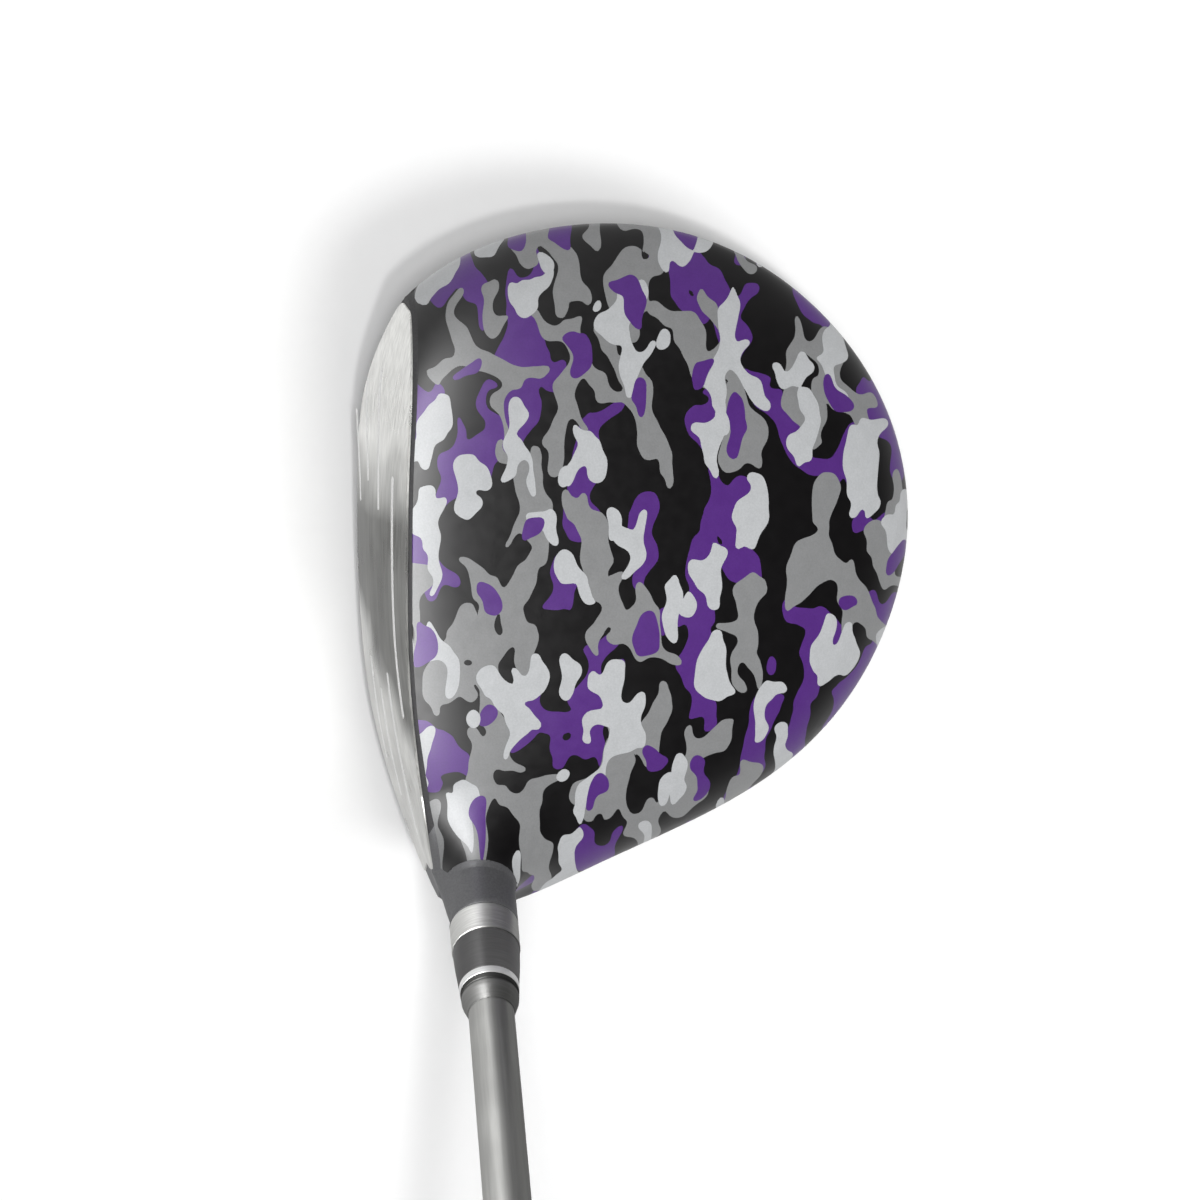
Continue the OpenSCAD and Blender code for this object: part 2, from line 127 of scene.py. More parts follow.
def crown_point(s, u, depth=0.0):
    edge, x, y = plan(s, u, depth)
    drop = crown_dome(edge[:, 0], edge[:, 1]) - depth - edge[:, 2]
    turn = 1 - np.sqrt(np.maximum(0, 1 - s**7))
    return np.stack([x, y, crown_dome(x, y) - depth - drop * turn], 1)


def sole_point(s, u, depth=0.0):
    edge, x, y = plan(s, u, depth)
    rise = edge[:, 2] - sole_bowl(edge[:, 0], edge[:, 1]) - depth
    turn = 1 - np.sqrt(np.maximum(0, 1 - s**5))
    return np.stack([x, y, np.maximum(sole_bowl(x, y) + depth + rise * turn, 0)], 1)


def face_y(x, z):
    share = np.clip((z - 12) / 42, 0, 1)
    high = sum(a * np.exp(-((x - c) / 20) ** 2) for a, c in HIGH_SWELLS)
    low = sum(a * np.exp(-((x - c) / 16) ** 2) for a, c in LOW_SWELLS)
    return (FACE_FOOT + z * math.tan(LOFT) + x**2 / (2 * BULGE_R)
            + (z - FACE_MIDDLE) ** 2 / (2 * ROLL_R) + share * high + (1 - share) * low)


def reach(surface, u, depth, behind):
    """Largest s at which a surface is still behind the face by that much."""
    def inside(s):
        p = surface(s, u, depth)
        gap = behind(p[:, 0]) if callable(behind) else behind
        return p[:, 1] - face_y(p[:, 0], p[:, 2]) >= gap
    whole = inside(np.ones(len(u)))
    low, high = np.zeros(len(u)), np.ones(len(u))
    for _ in range(30):
        s = (low + high) / 2
        ok = inside(s)
        low, high = np.where(ok, s, low), np.where(ok, high, s)
    return np.where(whole, 1.0, low)


def off_axis(points, origin, axis):
    """Distance along an axis, offset square to it and length of that offset."""
    rel = points - origin
    along = rel @ axis
    side = rel - along[:, None] * axis
    return along, side, np.linalg.norm(side, axis=1)


def hosel_blend(points):
    """Moves points near the hosel up its axis, so that the head flows into it."""
    along, _, out = off_axis(points, FOOT, SHAFT)
    wide = 12.0
    far = np.clip(out - (HOSEL_R - 0.2), 0, wide)
    rise = wide - np.sqrt(wide**2 - (wide - far) ** 2)
    share = smooth_step((points[:, 2] - 28) / 8) * smooth_step((along - 18) / 8)
    return points + (rise * share)[:, None] * SHAFT


def smooth_step(t):
    t = np.clip(t, 0, 1)
    return t * t * (3 - 2 * t)


# ---- mesh helpers ----

def new_mesh(name, points, faces, body, materials, angle=35.0, fields=None, parts=None):
    """Mesh object from points in mm, without the points that no face uses."""
    points = np.asarray(points, float)
    used = np.unique(np.fromiter((i for f in faces for i in f), int))
    place = np.full(len(points), -1)
    place[used] = np.arange(len(used))
    mesh = bpy.data.meshes.new(name)
    mesh.from_pydata((points[used] * MM).tolist(), [],
                     [tuple(place[i] for i in f) for f in faces])
    shell = bmesh.new()
    shell.from_mesh(mesh)
    bmesh.ops.recalc_face_normals(shell, faces=shell.faces)
    shell.to_mesh(mesh)
    shell.free()
    for m in materials:
        mesh.materials.append(m)
    if parts is not None:
        mesh.polygons.foreach_set("material_index", parts)
    mesh.polygons.foreach_set("use_smooth", [True] * len(mesh.polygons))
    mesh.set_sharp_from_angle(angle=math.radians(angle))
    for key, values in (fields or {}).items():
        layer = mesh.attributes.new(key, "FLOAT", "POINT")
        layer.data.foreach_set("value", np.asarray(values, np.float32)[used])
    mesh.update()
    obj = bpy.data.objects.new(name, mesh)
    scene.collection.objects.link(obj)
    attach(obj, body)
    return obj


def band_faces(rows, columns, first=0, flip=False, dead=None, closed=True):
    """Quads between rows of points, left out where all four corners are dead."""
    j, i = np.meshgrid(np.arange(rows - 1), np.arange(columns if closed else columns - 1),
                       indexing="ij")
    a = (j * columns + i).ravel()
    b = (j * columns + (i + 1) % columns).ravel()
    quads = np.stack([a, a + columns, b + columns, b], 1)
    if dead is not None:
        quads = quads[~dead[quads].all(1)]
    if flip:
        quads = quads[:, ::-1]
    return [tuple(q) for q in (quads + first).tolist()]


def edge_wall(points, faces, depth):
    """Adds a wall of that depth down from every open edge, square to the surface."""
    quads = np.array([f if len(f) == 4 else f + f[:1] for f in faces])
    a, b, c = points[quads[:, 0]], points[quads[:, 1]], points[quads[:, 2]]
    flat = np.cross(b - a, c - a)
    normals = np.zeros_like(points)
    for k in range(3):
        np.add.at(normals, quads[:, k], flat)
    normals *= np.sign(normals[:, 2].sum())
    edges = np.concatenate([quads[:, [k, (k + 1) % 4]] for k in range(4)])
    edges = edges[edges[:, 0] != edges[:, 1]]
    key = np.sort(edges, 1)
    _, where, counts = np.unique(key, axis=0, return_index=True, return_counts=True)
    rims = edges[where[counts == 1]]
    loop = np.unique(rims)
    size = np.linalg.norm(normals[loop], axis=1, keepdims=True)
    lower = points[loop] - depth * normals[loop] / np.maximum(size, 1e-9)
    place = {int(v): len(points) + k for k, v in enumerate(loop)}
    walls = [(int(q), int(p), place[int(p)], place[int(q)]) for p, q in rims]
    return np.concatenate([points, lower]), faces + walls, loop


def closed_ring_faces(count, segments):
    """Quads over count rings of points, the last one joined to the first."""
    total = count * segments
    return [tuple(i % total for i in f) for f in band_faces(count + 1, segments)]


def bend(a, middle, b, f):
    """Point at f on the soft bend from a to b that leans towards the middle."""
    return (1 - f) ** 2 * a + 2 * f * (1 - f) * middle + f**2 * b


def turned_rows(outline, segments, origin, axis, side):
    """Rings of points round an axis, one for each (radius, distance) of the outline."""
    other = np.cross(axis, side)
    turn = np.linspace(0, TURN, segments, endpoint=False)
    around = np.outer(np.cos(turn), side) + np.outer(np.sin(turn), other)
    rows = []
    for r, t in outline:
        along = t if np.ndim(t) else np.full(segments, float(t))
        rows.append(origin + along[:, None] * axis + r * around)
    return rows, around


def lathe(name, outline, body, material, segments=128, origin=None, axis=None, angle=30.0):
    """Turned piece from a closed outline of (radius, distance along the axis) in mm."""
    origin = FOOT if origin is None else origin
    axis = SHAFT if axis is None else axis
    side = ACROSS if axis is SHAFT else np.array([1.0, 0.0, 0.0])
    rows, _ = turned_rows(outline, segments, origin, axis, side)
    faces = closed_ring_faces(len(rows), segments)
    return new_mesh(name, np.concatenate(rows), faces, body, [material], angle)


def rounded(outline, radius, steps=4):
    """Outline with its corners rounded; a third number in a point is its own radius."""
    out = []
    count = len(outline)
    for i in range(count):
        p = np.array(outline[i][:2], float)
        before = np.array(outline[i - 1][:2], float) - p
        after = np.array(outline[(i + 1) % count][:2], float) - p
        r = outline[i][2] if len(outline[i]) > 2 else radius
        cut = min(r, np.linalg.norm(before) * 0.45, np.linalg.norm(after) * 0.45)
        if cut < 1e-4:
            out.append(tuple(p))
            continue
        a = p + before / np.linalg.norm(before) * cut
        b = p + after / np.linalg.norm(after) * cut
        out += [tuple(bend(a, p, b, k / steps)) for k in range(steps + 1)]
    return out


# ---- materials ----

def new_node(tree, kind, inputs=None, links=None, **settings):
    """Node with its settings, its fixed inputs and its linked inputs."""
    n = tree.nodes.new(kind)
    for key, value in settings.items():
        setattr(n, key, value)
    for key, value in (inputs or {}).items():
        n.inputs[key].default_value = value
    for key, value in (links or {}).items():
        tree.links.new(value, n.inputs[key])
    return n


def stretched_noise(tree, source, scale, detail=3.0):
    """Noise read through a stretched copy of the object's own coordinates."""
    mapping = new_node(tree, "ShaderNodeMapping", {"Scale": scale}, {"Vector": source})
    return new_node(tree, "ShaderNodeTexNoise",
                    {"Scale": 1.0, "Detail": detail, "Roughness": 0.5},
                    {"Vector": mapping.outputs["Vector"]}).outputs["Fac"]


def ranged(tree, source, low, high, start=0.3, end=0.7):
    """Value that runs from low to high while the source runs from start to end."""
    return new_node(tree, "ShaderNodeMapRange", {
        "From Min": start, "From Max": end, "To Min": low, "To Max": high},
        {"Value": source}).outputs["Result"]


def joined(tree, operation, a, b):
    """Sum, product or the like of two linked values."""
    return new_node(tree, "ShaderNodeMath", None, {0: a, 1: b},
                    operation=operation).outputs["Value"]


def parted(tree, source):
    """Outputs X, Y and Z of a linked vector."""
    return new_node(tree, "ShaderNodeSeparateXYZ", None, {0: source}).outputs


def shade(tree, colour, factor):
    """A colour, constant or linked, scaled by a linked factor."""
    fixed, linked = ({0: colour}, {}) if isinstance(colour, tuple) else ({}, {0: colour})
    return new_node(tree, "ShaderNodeVectorMath", fixed, {**linked, "Scale": factor},
                    operation="SCALE").outputs["Vector"]


def along_way(tree, vector, way):
    """How far a linked vector reaches along a way."""
    return new_node(tree, "ShaderNodeVectorMath", {1: tuple(way)}, {0: vector},
                    operation="DOT_PRODUCT").outputs["Value"]


def shaft_frame(tree, origin, axis):
    """Coordinates along an axis in z, with the way round it in x and y, in metres."""
    coord = new_node(tree, "ShaderNodeTexCoord")
    move = new_node(tree, "ShaderNodeVectorMath", {1: tuple(origin * MM)},
                    {0: coord.outputs["Object"]}, operation="SUBTRACT").outputs["Vector"]
    side = ACROSS if axis is SHAFT else np.array([1.0, 0.0, 0.0])
    ways = (side, np.cross(axis, side), axis)
    return new_node(tree, "ShaderNodeCombineXYZ", None, {
        k: along_way(tree, move, way) for k, way in enumerate(ways)}).outputs["Vector"]


def relief(tree, shader, height, strength, depth):
    """Bump on a shader from a linked height."""
    bump = new_node(tree, "ShaderNodeBump", {"Strength": strength, "Distance": depth},
                    {"Height": height})
    tree.links.new(bump.outputs["Normal"], shader.inputs["Normal"])


def surface(name, colour, rough, metal=0.0, grain=(900, 900, 900), tone=0.08, wear=0.06,
            bump=0.1, depth=0.00004, about=None, coat=0.0, specular=0.5, detail=3.0,
            patches=70.0, tone_factor=None, spun=0.0, edge=1.0):
    """Material with grain that may run along or round an axis, slow patches and a bump."""
    mat = bpy.data.materials.new(name)
    mat.use_nodes = True
    tree = mat.node_tree
    shader = tree.nodes["Principled BSDF"]
    if about is None:
        source = new_node(tree, "ShaderNodeTexCoord").outputs["Object"]
    else:
        source = shaft_frame(tree, *about)
    fine = stretched_noise(tree, source, grain, detail)
    slow = stretched_noise(tree, source, (patches, patches, patches), 2.0)
    factor = joined(tree, "MULTIPLY", ranged(tree, fine, 1 - tone, 1 + tone),
                    ranged(tree, slow, 1 - tone * 0.6, 1 + tone * 0.6))
    if tone_factor:
        factor = joined(tree, "MULTIPLY", factor, tone_factor(tree, source))
    tree.links.new(shade(tree, colour, factor), shader.inputs["Base Color"])
    tree.links.new(ranged(tree, slow, rough - wear, rough + wear), shader.inputs["Roughness"])
    shader.inputs["Metallic"].default_value = metal
    shader.inputs["Specular IOR Level"].default_value = specular
    shader.inputs["Specular Tint"].default_value = (edge, edge, edge, 1)
    if tone_factor:
        tree.links.new(shade(tree, (edge, edge, edge), factor), shader.inputs["Specular Tint"])
    shader.inputs["Coat Weight"].default_value = coat
    shader.inputs["Coat Roughness"].default_value = 0.12
    if spun:
        tangent = new_node(tree, "ShaderNodeCombineXYZ", dict(zip("XYZ", map(float, about[1]))))
        tree.links.new(tangent.outputs[0], shader.inputs["Tangent"])
        shader.inputs["Anisotropic"].default_value = spun
    relief(tree, shader, fine, bump, depth)
    return mat


SPUN = (FOOT, SHAFT)
SPUN_WEIGHT = (WEIGHT_PLACE, WEIGHT)


def painted_reflection_zones(tree, source):
    """Painted reflection on the brushed face: darker middle, brighter soft wandering ends towards
    toe and heel; it scales both colour and specular tint.
    """
    split = parted(tree, source)

    def scaled_sum(value, share, other):
        return new_node(tree, "ShaderNodeMath", {1: share}, {0: value, 2: other},
                        operation="MULTIPLY_ADD").outputs["Value"]

    place = scaled_sum(stretched_noise(tree, source, (55, 55, 55), 2.0), 0.016, split["X"])
    toe = ranged(tree, place, 1.0, 0.0, -0.022, -0.007)
    heel = ranged(tree, scaled_sum(split["Z"], -0.55, place), 0.0, 0.72, 0.000, 0.009)
    return ranged(tree, joined(tree, "MAXIMUM", toe, heel), 0.40, 0.88, 0.0, 1.0)


def dark_band(tree, source):
    """Darker ring round the cap where it meets the bright trim band."""
    start, end = (RING_END + 1.2) * MM, (RING_END + 1.9) * MM
    return ranged(tree, parted(tree, source)["Z"], 0.36, 1.0, start, end)


gunmetal = surface("gunmetal_paint", (0.15, 0.151, 0.156), 0.42, 0.6, (2600, 2600, 2600),
                   tone=0.12, bump=0.12, specular=0.25, edge=0.5)
edge_paint = surface("edge_paint", (0.05, 0.049, 0.051), 0.6, 0.0, (2200, 2200, 2200),
                     tone=0.15, specular=0.15)
# The brushed steel's colour and specular tint carry a painted reflection: darker middle, brighter
# toe and heel.
face_steel = surface("brushed_steel", (0.84, 0.84, 0.812), 0.3, 1.0, (35, 1500, 2300),
                     tone=0.13, wear=0.05, bump=0.3, depth=0.00003, tone_factor=painted_reflection_zones)
collar_steel = surface("brushed_collar", (0.62, 0.62, 0.605), 0.45, 1.0, (220, 220, 4600),
                       tone=0.14, wear=0.02, bump=0.25, depth=0.00002, about=SPUN, spun=0.6,
                       edge=0.5)
trim_silver = surface("trim_silver", (0.8, 0.8, 0.8), 0.4, 0.7, (80, 80, 6000),
                      tone=0.06, bump=0.15, depth=0.00002, about=SPUN, spun=0.5, edge=0.6)
ferrule_black = surface("ferrule_plastic", (0.08, 0.079, 0.08), 0.44, 0.0, (200, 200, 3500),
                        tone=0.12, bump=0.08, about=SPUN, spun=0.85, specular=0.35)
cap_grey = surface("ferrule_cap_grey", (0.23, 0.23, 0.225), 0.5, 0.9, (150, 150, 4200),
                   tone=0.1, bump=0.1, about=SPUN, spun=0.6, edge=0.45, tone_factor=dark_band)
shaft_grey = surface("shaft_graphite", (0.37, 0.37, 0.36), 0.47, 1.0, (1500, 1500, 60),
                     tone=0.09, wear=0.03, bump=0.08, about=SPUN, spun=0.6, edge=0.5)
grip_black = surface("grip_rubber", (0.022, 0.022, 0.024), 0.72, 0.0, (3200, 3200, 3200),
                     tone=0.25, wear=0.1, bump=0.5, depth=0.00006)
tape_cream = surface("grip_tape_paper", (0.66, 0.62, 0.52), 0.85, 0.0, (400, 400, 2600),
                     tone=0.12, bump=0.3, about=SPUN)
screw_steel = surface("turned_steel", (0.56, 0.56, 0.57), 0.27, 1.0, (120, 120, 5200),
                      tone=0.1, bump=0.2, depth=0.00002, about=SPUN)
weight_screw_steel = surface("weight_screw_steel", (0.5, 0.5, 0.51), 0.28, 1.0,
                             (120, 120, 5200), tone=0.1, bump=0.2, about=SPUN_WEIGHT)
weight_steel = surface("weight_steel", (0.3, 0.3, 0.31), 0.36, 1.0, (90, 90, 4200),
                       tone=0.12, bump=0.25, depth=0.00003, about=SPUN_WEIGHT)
casting = surface("bare_casting", (0.36, 0.36, 0.37), 0.5, 1.0, (1400, 1400, 1400),
                  tone=0.18, wear=0.1, bump=0.6, depth=0.00008)
glue = surface("crown_glue", (0.55, 0.42, 0.16), 0.3, 0.0, (500, 500, 500), tone=0.14, bump=0.3)
damping = surface("damping_compound", (0.36, 0.24, 0.08), 0.42, 0.0, (300, 300, 300),
                  tone=0.2, bump=0.5)
score_white = surface("score_paint_white", (0.86, 0.86, 0.85), 0.45, 0.0, (1800, 1800, 1800),
                      tone=0.06, bump=0.2)


def printed_film():
    """Semi-gloss vinyl with the camouflage print, from the fields stored on the mesh."""
    mat = bpy.data.materials.new("printed_film")
    mat.use_nodes = True
    tree = mat.node_tree
    shader = tree.nodes["Principled BSDF"]
    source = new_node(tree, "ShaderNodeTexCoord").outputs["Object"]
    black, purple = (0.0035, 0.0030, 0.0034, 1), (0.074, 0.018, 0.175, 1)
    grey, light = (0.205, 0.208, 0.210, 1), (0.42, 0.43, 0.44, 1)
    last = None
    for field, colour in (("camo_purple", purple), ("camo_grey", grey), ("camo_light", light),
                          ("camo_insert", purple), ("camo_dot", light)):
        print_field = new_node(tree, "ShaderNodeAttribute", attribute_name=field)
        inside = new_node(tree, "ShaderNodeMath", {1: 0.0}, {0: print_field.outputs["Fac"]},
                          operation="LESS_THAN")
        mix = new_node(tree, "ShaderNodeMix", {6: black, 7: colour},
                       {"Factor": inside.outputs["Value"]}, data_type="RGBA")
        if last is not None:
            tree.links.new(last, mix.inputs[6])
        last = mix.outputs[2]
    fine = stretched_noise(tree, source, (3000, 3000, 3000), 2.0)
    peel = stretched_noise(tree, source, (420, 420, 420), 2.0)
    tone = joined(tree, "MULTIPLY", ranged(tree, fine, 0.94, 1.06),
                  ranged(tree, peel, 0.97, 1.03))
    tree.links.new(shade(tree, last, tone), shader.inputs["Base Color"])
    tree.links.new(ranged(tree, peel, 0.34, 0.4), shader.inputs["Roughness"])
    shader.inputs["Specular IOR Level"].default_value = 0.5
    relief(tree, shader, peel, 0.06, 0.00004)
    return mat


film_look = printed_film()

# ---- camouflage print: seeded patches laid out over the crown's plan ----

PRINT_SEED, PRINT_STEP, PRINT_SCALE = 11, 0.4, 0.69
PRINT_X = np.arange(-123, 112, PRINT_STEP)      # heel to toe, in the print's own larger scale
PRINT_Y = np.arange(-58, 134, PRINT_STEP)
STRETCH = 1.22       # how much longer the patches are from heel to toe
PRINT_THIN = {"camo_purple": 0.3, "camo_grey": 0.3, "camo_light": 0.15}


def waves(rng, count, length):
    way = rng.uniform(0, TURN, count)
    size = TURN / (length * rng.uniform(0.6, 1.5, count))
    kx, ky, start = size * np.cos(way), size * np.sin(way), rng.uniform(0, TURN, count)
    return lambda x, y: (sum(np.sin(a * x + b * y + c) for a, b, c in zip(kx, ky, start))
                         / math.sqrt(count / 2))


def wander(rng, x, y, way, length, r0, r1, curl):
    """Chain of discs that wanders off in a direction and bends by curl."""
    n = max(2, round(length / 2.5))
    out = [(x, y, r0)]
    for i in range(n):
        way += curl / n + rng.normal(0, 0.10)
        x += math.cos(way) * length / n
        y += math.sin(way) * length / n
        out.append((x, y, (r0 + (r1 - r0) * (i + 1) / n) * rng.uniform(0.88, 1.12)))
    return out


def patch(rng, x, y, length, fat, fingers, finger_len=(1.5, 4.5), finger_r=(1.2, 1.6)):
    """One patch of the print: a fat middle with fingers that turn heel or toe wards."""
    way = rng.normal(0, 0.22) + (math.pi if rng.random() < 0.5 else 0)
    spine = wander(rng, x - math.cos(way) * length / 2, y - math.sin(way) * length / 2, way,
                   length, fat, fat * rng.uniform(0.6, 1.0), rng.normal(0, 0.6))
    count, swell = len(spine), rng.uniform(0.25, 0.75)
    spine = [(a, b, r * (0.5 + 0.5 * math.exp(-((i / (count - 1) - swell) / 0.4) ** 2)))
             for i, (a, b, r) in enumerate(spine)]
    chains = [spine]
    for n in range(fingers):
        a, b, r = spine[int(rng.integers(0, count))]
        side = 1 if n % 2 else -1
        back = rng.random() < 0.5
        turn = rng.uniform(0.8, 1.5)
        off = way + side * (turn if back else math.pi - turn)
        curl = side * rng.uniform(0.5, 1.5) * (-1 if back else 1)
        thin = rng.uniform(*finger_r)
        finger = wander(rng, a, b, off, r + rng.uniform(*finger_len) * 1.3, thin * 1.1, thin, curl)
        a, b, r = finger[-1]
        finger[-1] = (a, b, r * rng.uniform(1.0, 1.35))
        chains.append(finger)
    return chains


def print_patches(rng, columns=8, rows=13):
    """Patches of each colour over the print's cells, by turns grey and purple."""
    purple, grey, light, insert, dots = [], [], [], [], []
    low_x, wide = PRINT_X[0] / STRETCH, (PRINT_X[-1] - PRINT_X[0]) / STRETCH / columns
    low_y, deep = PRINT_Y[0], (PRINT_Y[-1] - PRINT_Y[0]) / rows

    def num(a, b):
        return int(rng.integers(a, b))

    for i in range(-1, columns + 1):
        for j in range(rows):
            x = low_x + (i + 0.5 + 0.5 * (j % 2)) * wide + rng.normal(0, 2.2)
            y = low_y + (j + 0.5) * deep + rng.normal(0, 1.3)
            side = 1 if rng.random() < 0.5 else -1
            if ((i + j) % 2 == 0) == (rng.random() < 0.86):
                grey.append(patch(rng, x, y, rng.uniform(15, 22), rng.uniform(3.4, 4.7),
                                  num(3, 6), (3, 9), (1.3, 2.0)))
                if rng.random() < 0.8:
                    insert.append(patch(rng, x + rng.normal(0, 3), y + rng.normal(0, 0.8),
                                        rng.uniform(3, 8), rng.uniform(2.4, 3.4), num(0, 2)))
                if rng.random() < 0.7:
                    light.append(patch(rng, x + rng.normal(0, 5), y + side * rng.uniform(3.2, 5),
                                       rng.uniform(8, 13), rng.uniform(2.2, 3.0), num(1, 4)))
            else:
                purple.append(patch(rng, x, y, rng.uniform(15, 24), rng.uniform(3.5, 5.0),
                                    num(2, 5), (3, 8), (1.6, 2.3)))
                light.append(patch(rng, x + rng.normal(0, 4), y + side * rng.uniform(2.5, 5),
                                   rng.uniform(8, 14), rng.uniform(2.4, 3.3), num(3, 6)))
            x += 0.5 * wide + rng.normal(0, 1.5)
            y += 0.5 * deep + rng.normal(0, 1.2)
            kind = rng.random()
            if kind < 0.30:
                dots.append(patch(rng, x, y, rng.uniform(2, 5), rng.uniform(2.0, 3.0), 0))
            elif kind < 0.5:
                purple.append(patch(rng, x, y, rng.uniform(4, 9), rng.uniform(2.2, 3.2),
                                    num(0, 3)))
            elif kind < 0.66:
                grey.append(patch(rng, x, y, rng.uniform(5, 11), rng.uniform(2.0, 3.0), num(1, 4)))
    return {"camo_purple": purple, "camo_grey": grey, "camo_light": light,
            "camo_insert": insert, "camo_dot": dots}


def patch_distance(x, y, chains, blend=0.45):
    total = np.zeros_like(x)
    for discs in chains:
        for (ax, ay, ar), (bx, by, br) in zip(discs, discs[1:]):
            dx, dy = bx - ax, by - ay
            t = np.clip(((x - ax) * dx + (y - ay) * dy) / (dx * dx + dy * dy + 1e-9), 0, 1)
            total += np.exp(-(np.hypot(x - ax - t * dx, y - ay - t * dy) - ar
                              - (br - ar) * t) / blend)
    return -blend * np.log(total + 1e-30)


def print_fields(seed, soft=0.8):
    """Signed fields over the plan, below 0 inside each colour's patches."""
    rng = np.random.default_rng(seed)
    warps = [waves(rng, 12, 15), waves(rng, 12, 15), waves(rng, 14, 6.5), waves(rng, 14, 6.5)]
    groups = print_patches(rng)
    x, y = np.meshgrid(PRINT_X / STRETCH, PRINT_Y, indexing="ij")
    gx = x + 1.2 * warps[0](x, y) + 0.3 * warps[2](x, y)
    gy = y + 1.0 * warps[1](x, y) + 0.3 * warps[3](x, y)
    fx, fy = np.fft.fftfreq(x.shape[0], PRINT_STEP), np.fft.rfftfreq(x.shape[1], PRINT_STEP)
    blur = np.exp(-2 * (math.pi * soft) ** 2 * (fx[:, None] ** 2 + fy[None, :] ** 2))
    out = {}
    for key, group in groups.items():
        best = np.full(x.shape, 30.0)
        for chains in group:
            discs = np.array([d for chain in chains for d in chain])
            low, high = discs.min(0) - 8, discs.max(0) + 8
            near = (gx > low[0]) & (gx < high[0]) & (gy > low[1]) & (gy < high[1])
            if near.any():
                best[near] = np.minimum(best[near], patch_distance(gx[near], gy[near], chains))
        field = np.tanh(best / 0.8)
        out[key] = (np.fft.irfft2(np.fft.rfft2(field) * blur, s=field.shape)
                    + PRINT_THIN.get(key, 0.0))
    return out


def read_field(field, x, y):
    """Field at plan points, between its grid's values."""
    a = np.clip((x / PRINT_SCALE - PRINT_X[0]) / PRINT_STEP, 0, len(PRINT_X) - 1.001)
    b = np.clip((y / PRINT_SCALE - PRINT_Y[0]) / PRINT_STEP, 0, len(PRINT_Y) - 1.001)
    i, j = a.astype(int), b.astype(int)
    f, g = a - i, b - j
    return ((field[i, j] * (1 - f) + field[i + 1, j] * f) * (1 - g)
            + (field[i, j + 1] * (1 - f) + field[i + 1, j + 1] * f) * g)


# ---- head ----

def ring_places(rings, even):
    """Ring positions from the middle to the rim, closer together towards the rim."""
    t = np.arange(1, rings + 1) / rings
    return even * t + (1 - even) * np.sin(t * math.pi / 2)


def fan_reach(surface_at, u, depth, behind):
    """Reach for a closed fan of columns, eased where the edge turns a corner."""
    far = reach(surface_at, u, depth, behind)
    for _ in range(4):
        far = (np.roll(far, 1) + 2 * far + np.roll(far, -1)) / 4
    return far


def surface_grid(surface_at, depth, behind, columns, rings, even, holes=()):
    """Rows of points on a surface, with round holes cut exactly; dead marks points in holes."""
    u = np.arange(columns) / columns
    far = fan_reach(surface_at, u, depth, behind)
    t = ring_places(rings, even)[:, None]
    s = (t + (far - 1) * t**3).ravel()
    us = np.tile(u, rings)
    points = surface_at(s, us, depth)
    dead = np.zeros(len(points), bool)
    for origin, axis, radius in holes:
        along, side, out = off_axis(points, origin, axis)
        inside = out < radius
        grid = inside.reshape(rings, columns)
        open_near = np.zeros_like(grid)
        for dj in (-1, 0, 1):
            for di in (-1, 0, 1):
                moved = np.roll(np.roll(grid, dj, 0), di, 1)
                open_near |= ~moved
        edge = np.flatnonzero((grid & open_near).ravel())
        want = side[edge] * (radius / np.maximum(out[edge], 1e-6))[:, None]
        first = want / radius
        second = np.cross(axis, first)
        se, ue = s[edge].copy(), us[edge].copy()
        for _ in range(8):
            here = off_axis(surface_at(se, ue, depth), origin, axis)[1]
            step_s = (off_axis(surface_at(se + 1e-5, ue, depth), origin, axis)[1] - here) / 1e-5
            step_u = (off_axis(surface_at(se, ue + 1e-6, depth), origin, axis)[1] - here) / 1e-6
            miss = want - here
            m = [(step_s * first).sum(1), (step_u * first).sum(1),
                 (step_s * second).sum(1), (step_u * second).sum(1)]
            det = m[0] * m[3] - m[1] * m[2]
            det = np.where(np.abs(det) < 1e-9, 1e-9, det)
            a, b = (miss * first).sum(1), (miss * second).sum(1)
            se += np.clip((a * m[3] - b * m[1]) / det, -0.05, 0.05)
            ue += np.clip((b * m[0] - a * m[2]) / det, -0.02, 0.02)
        points[edge] = surface_at(se, ue, depth)
        dead |= inside
    return points, dead


HOSEL_HOLE = HOSEL_R - 0.06
WEIGHT_HOLE = WEIGHT_R + 0.12
PAINT_END = math.radians(-35)   # where the darker paint along the crease stops at the heel


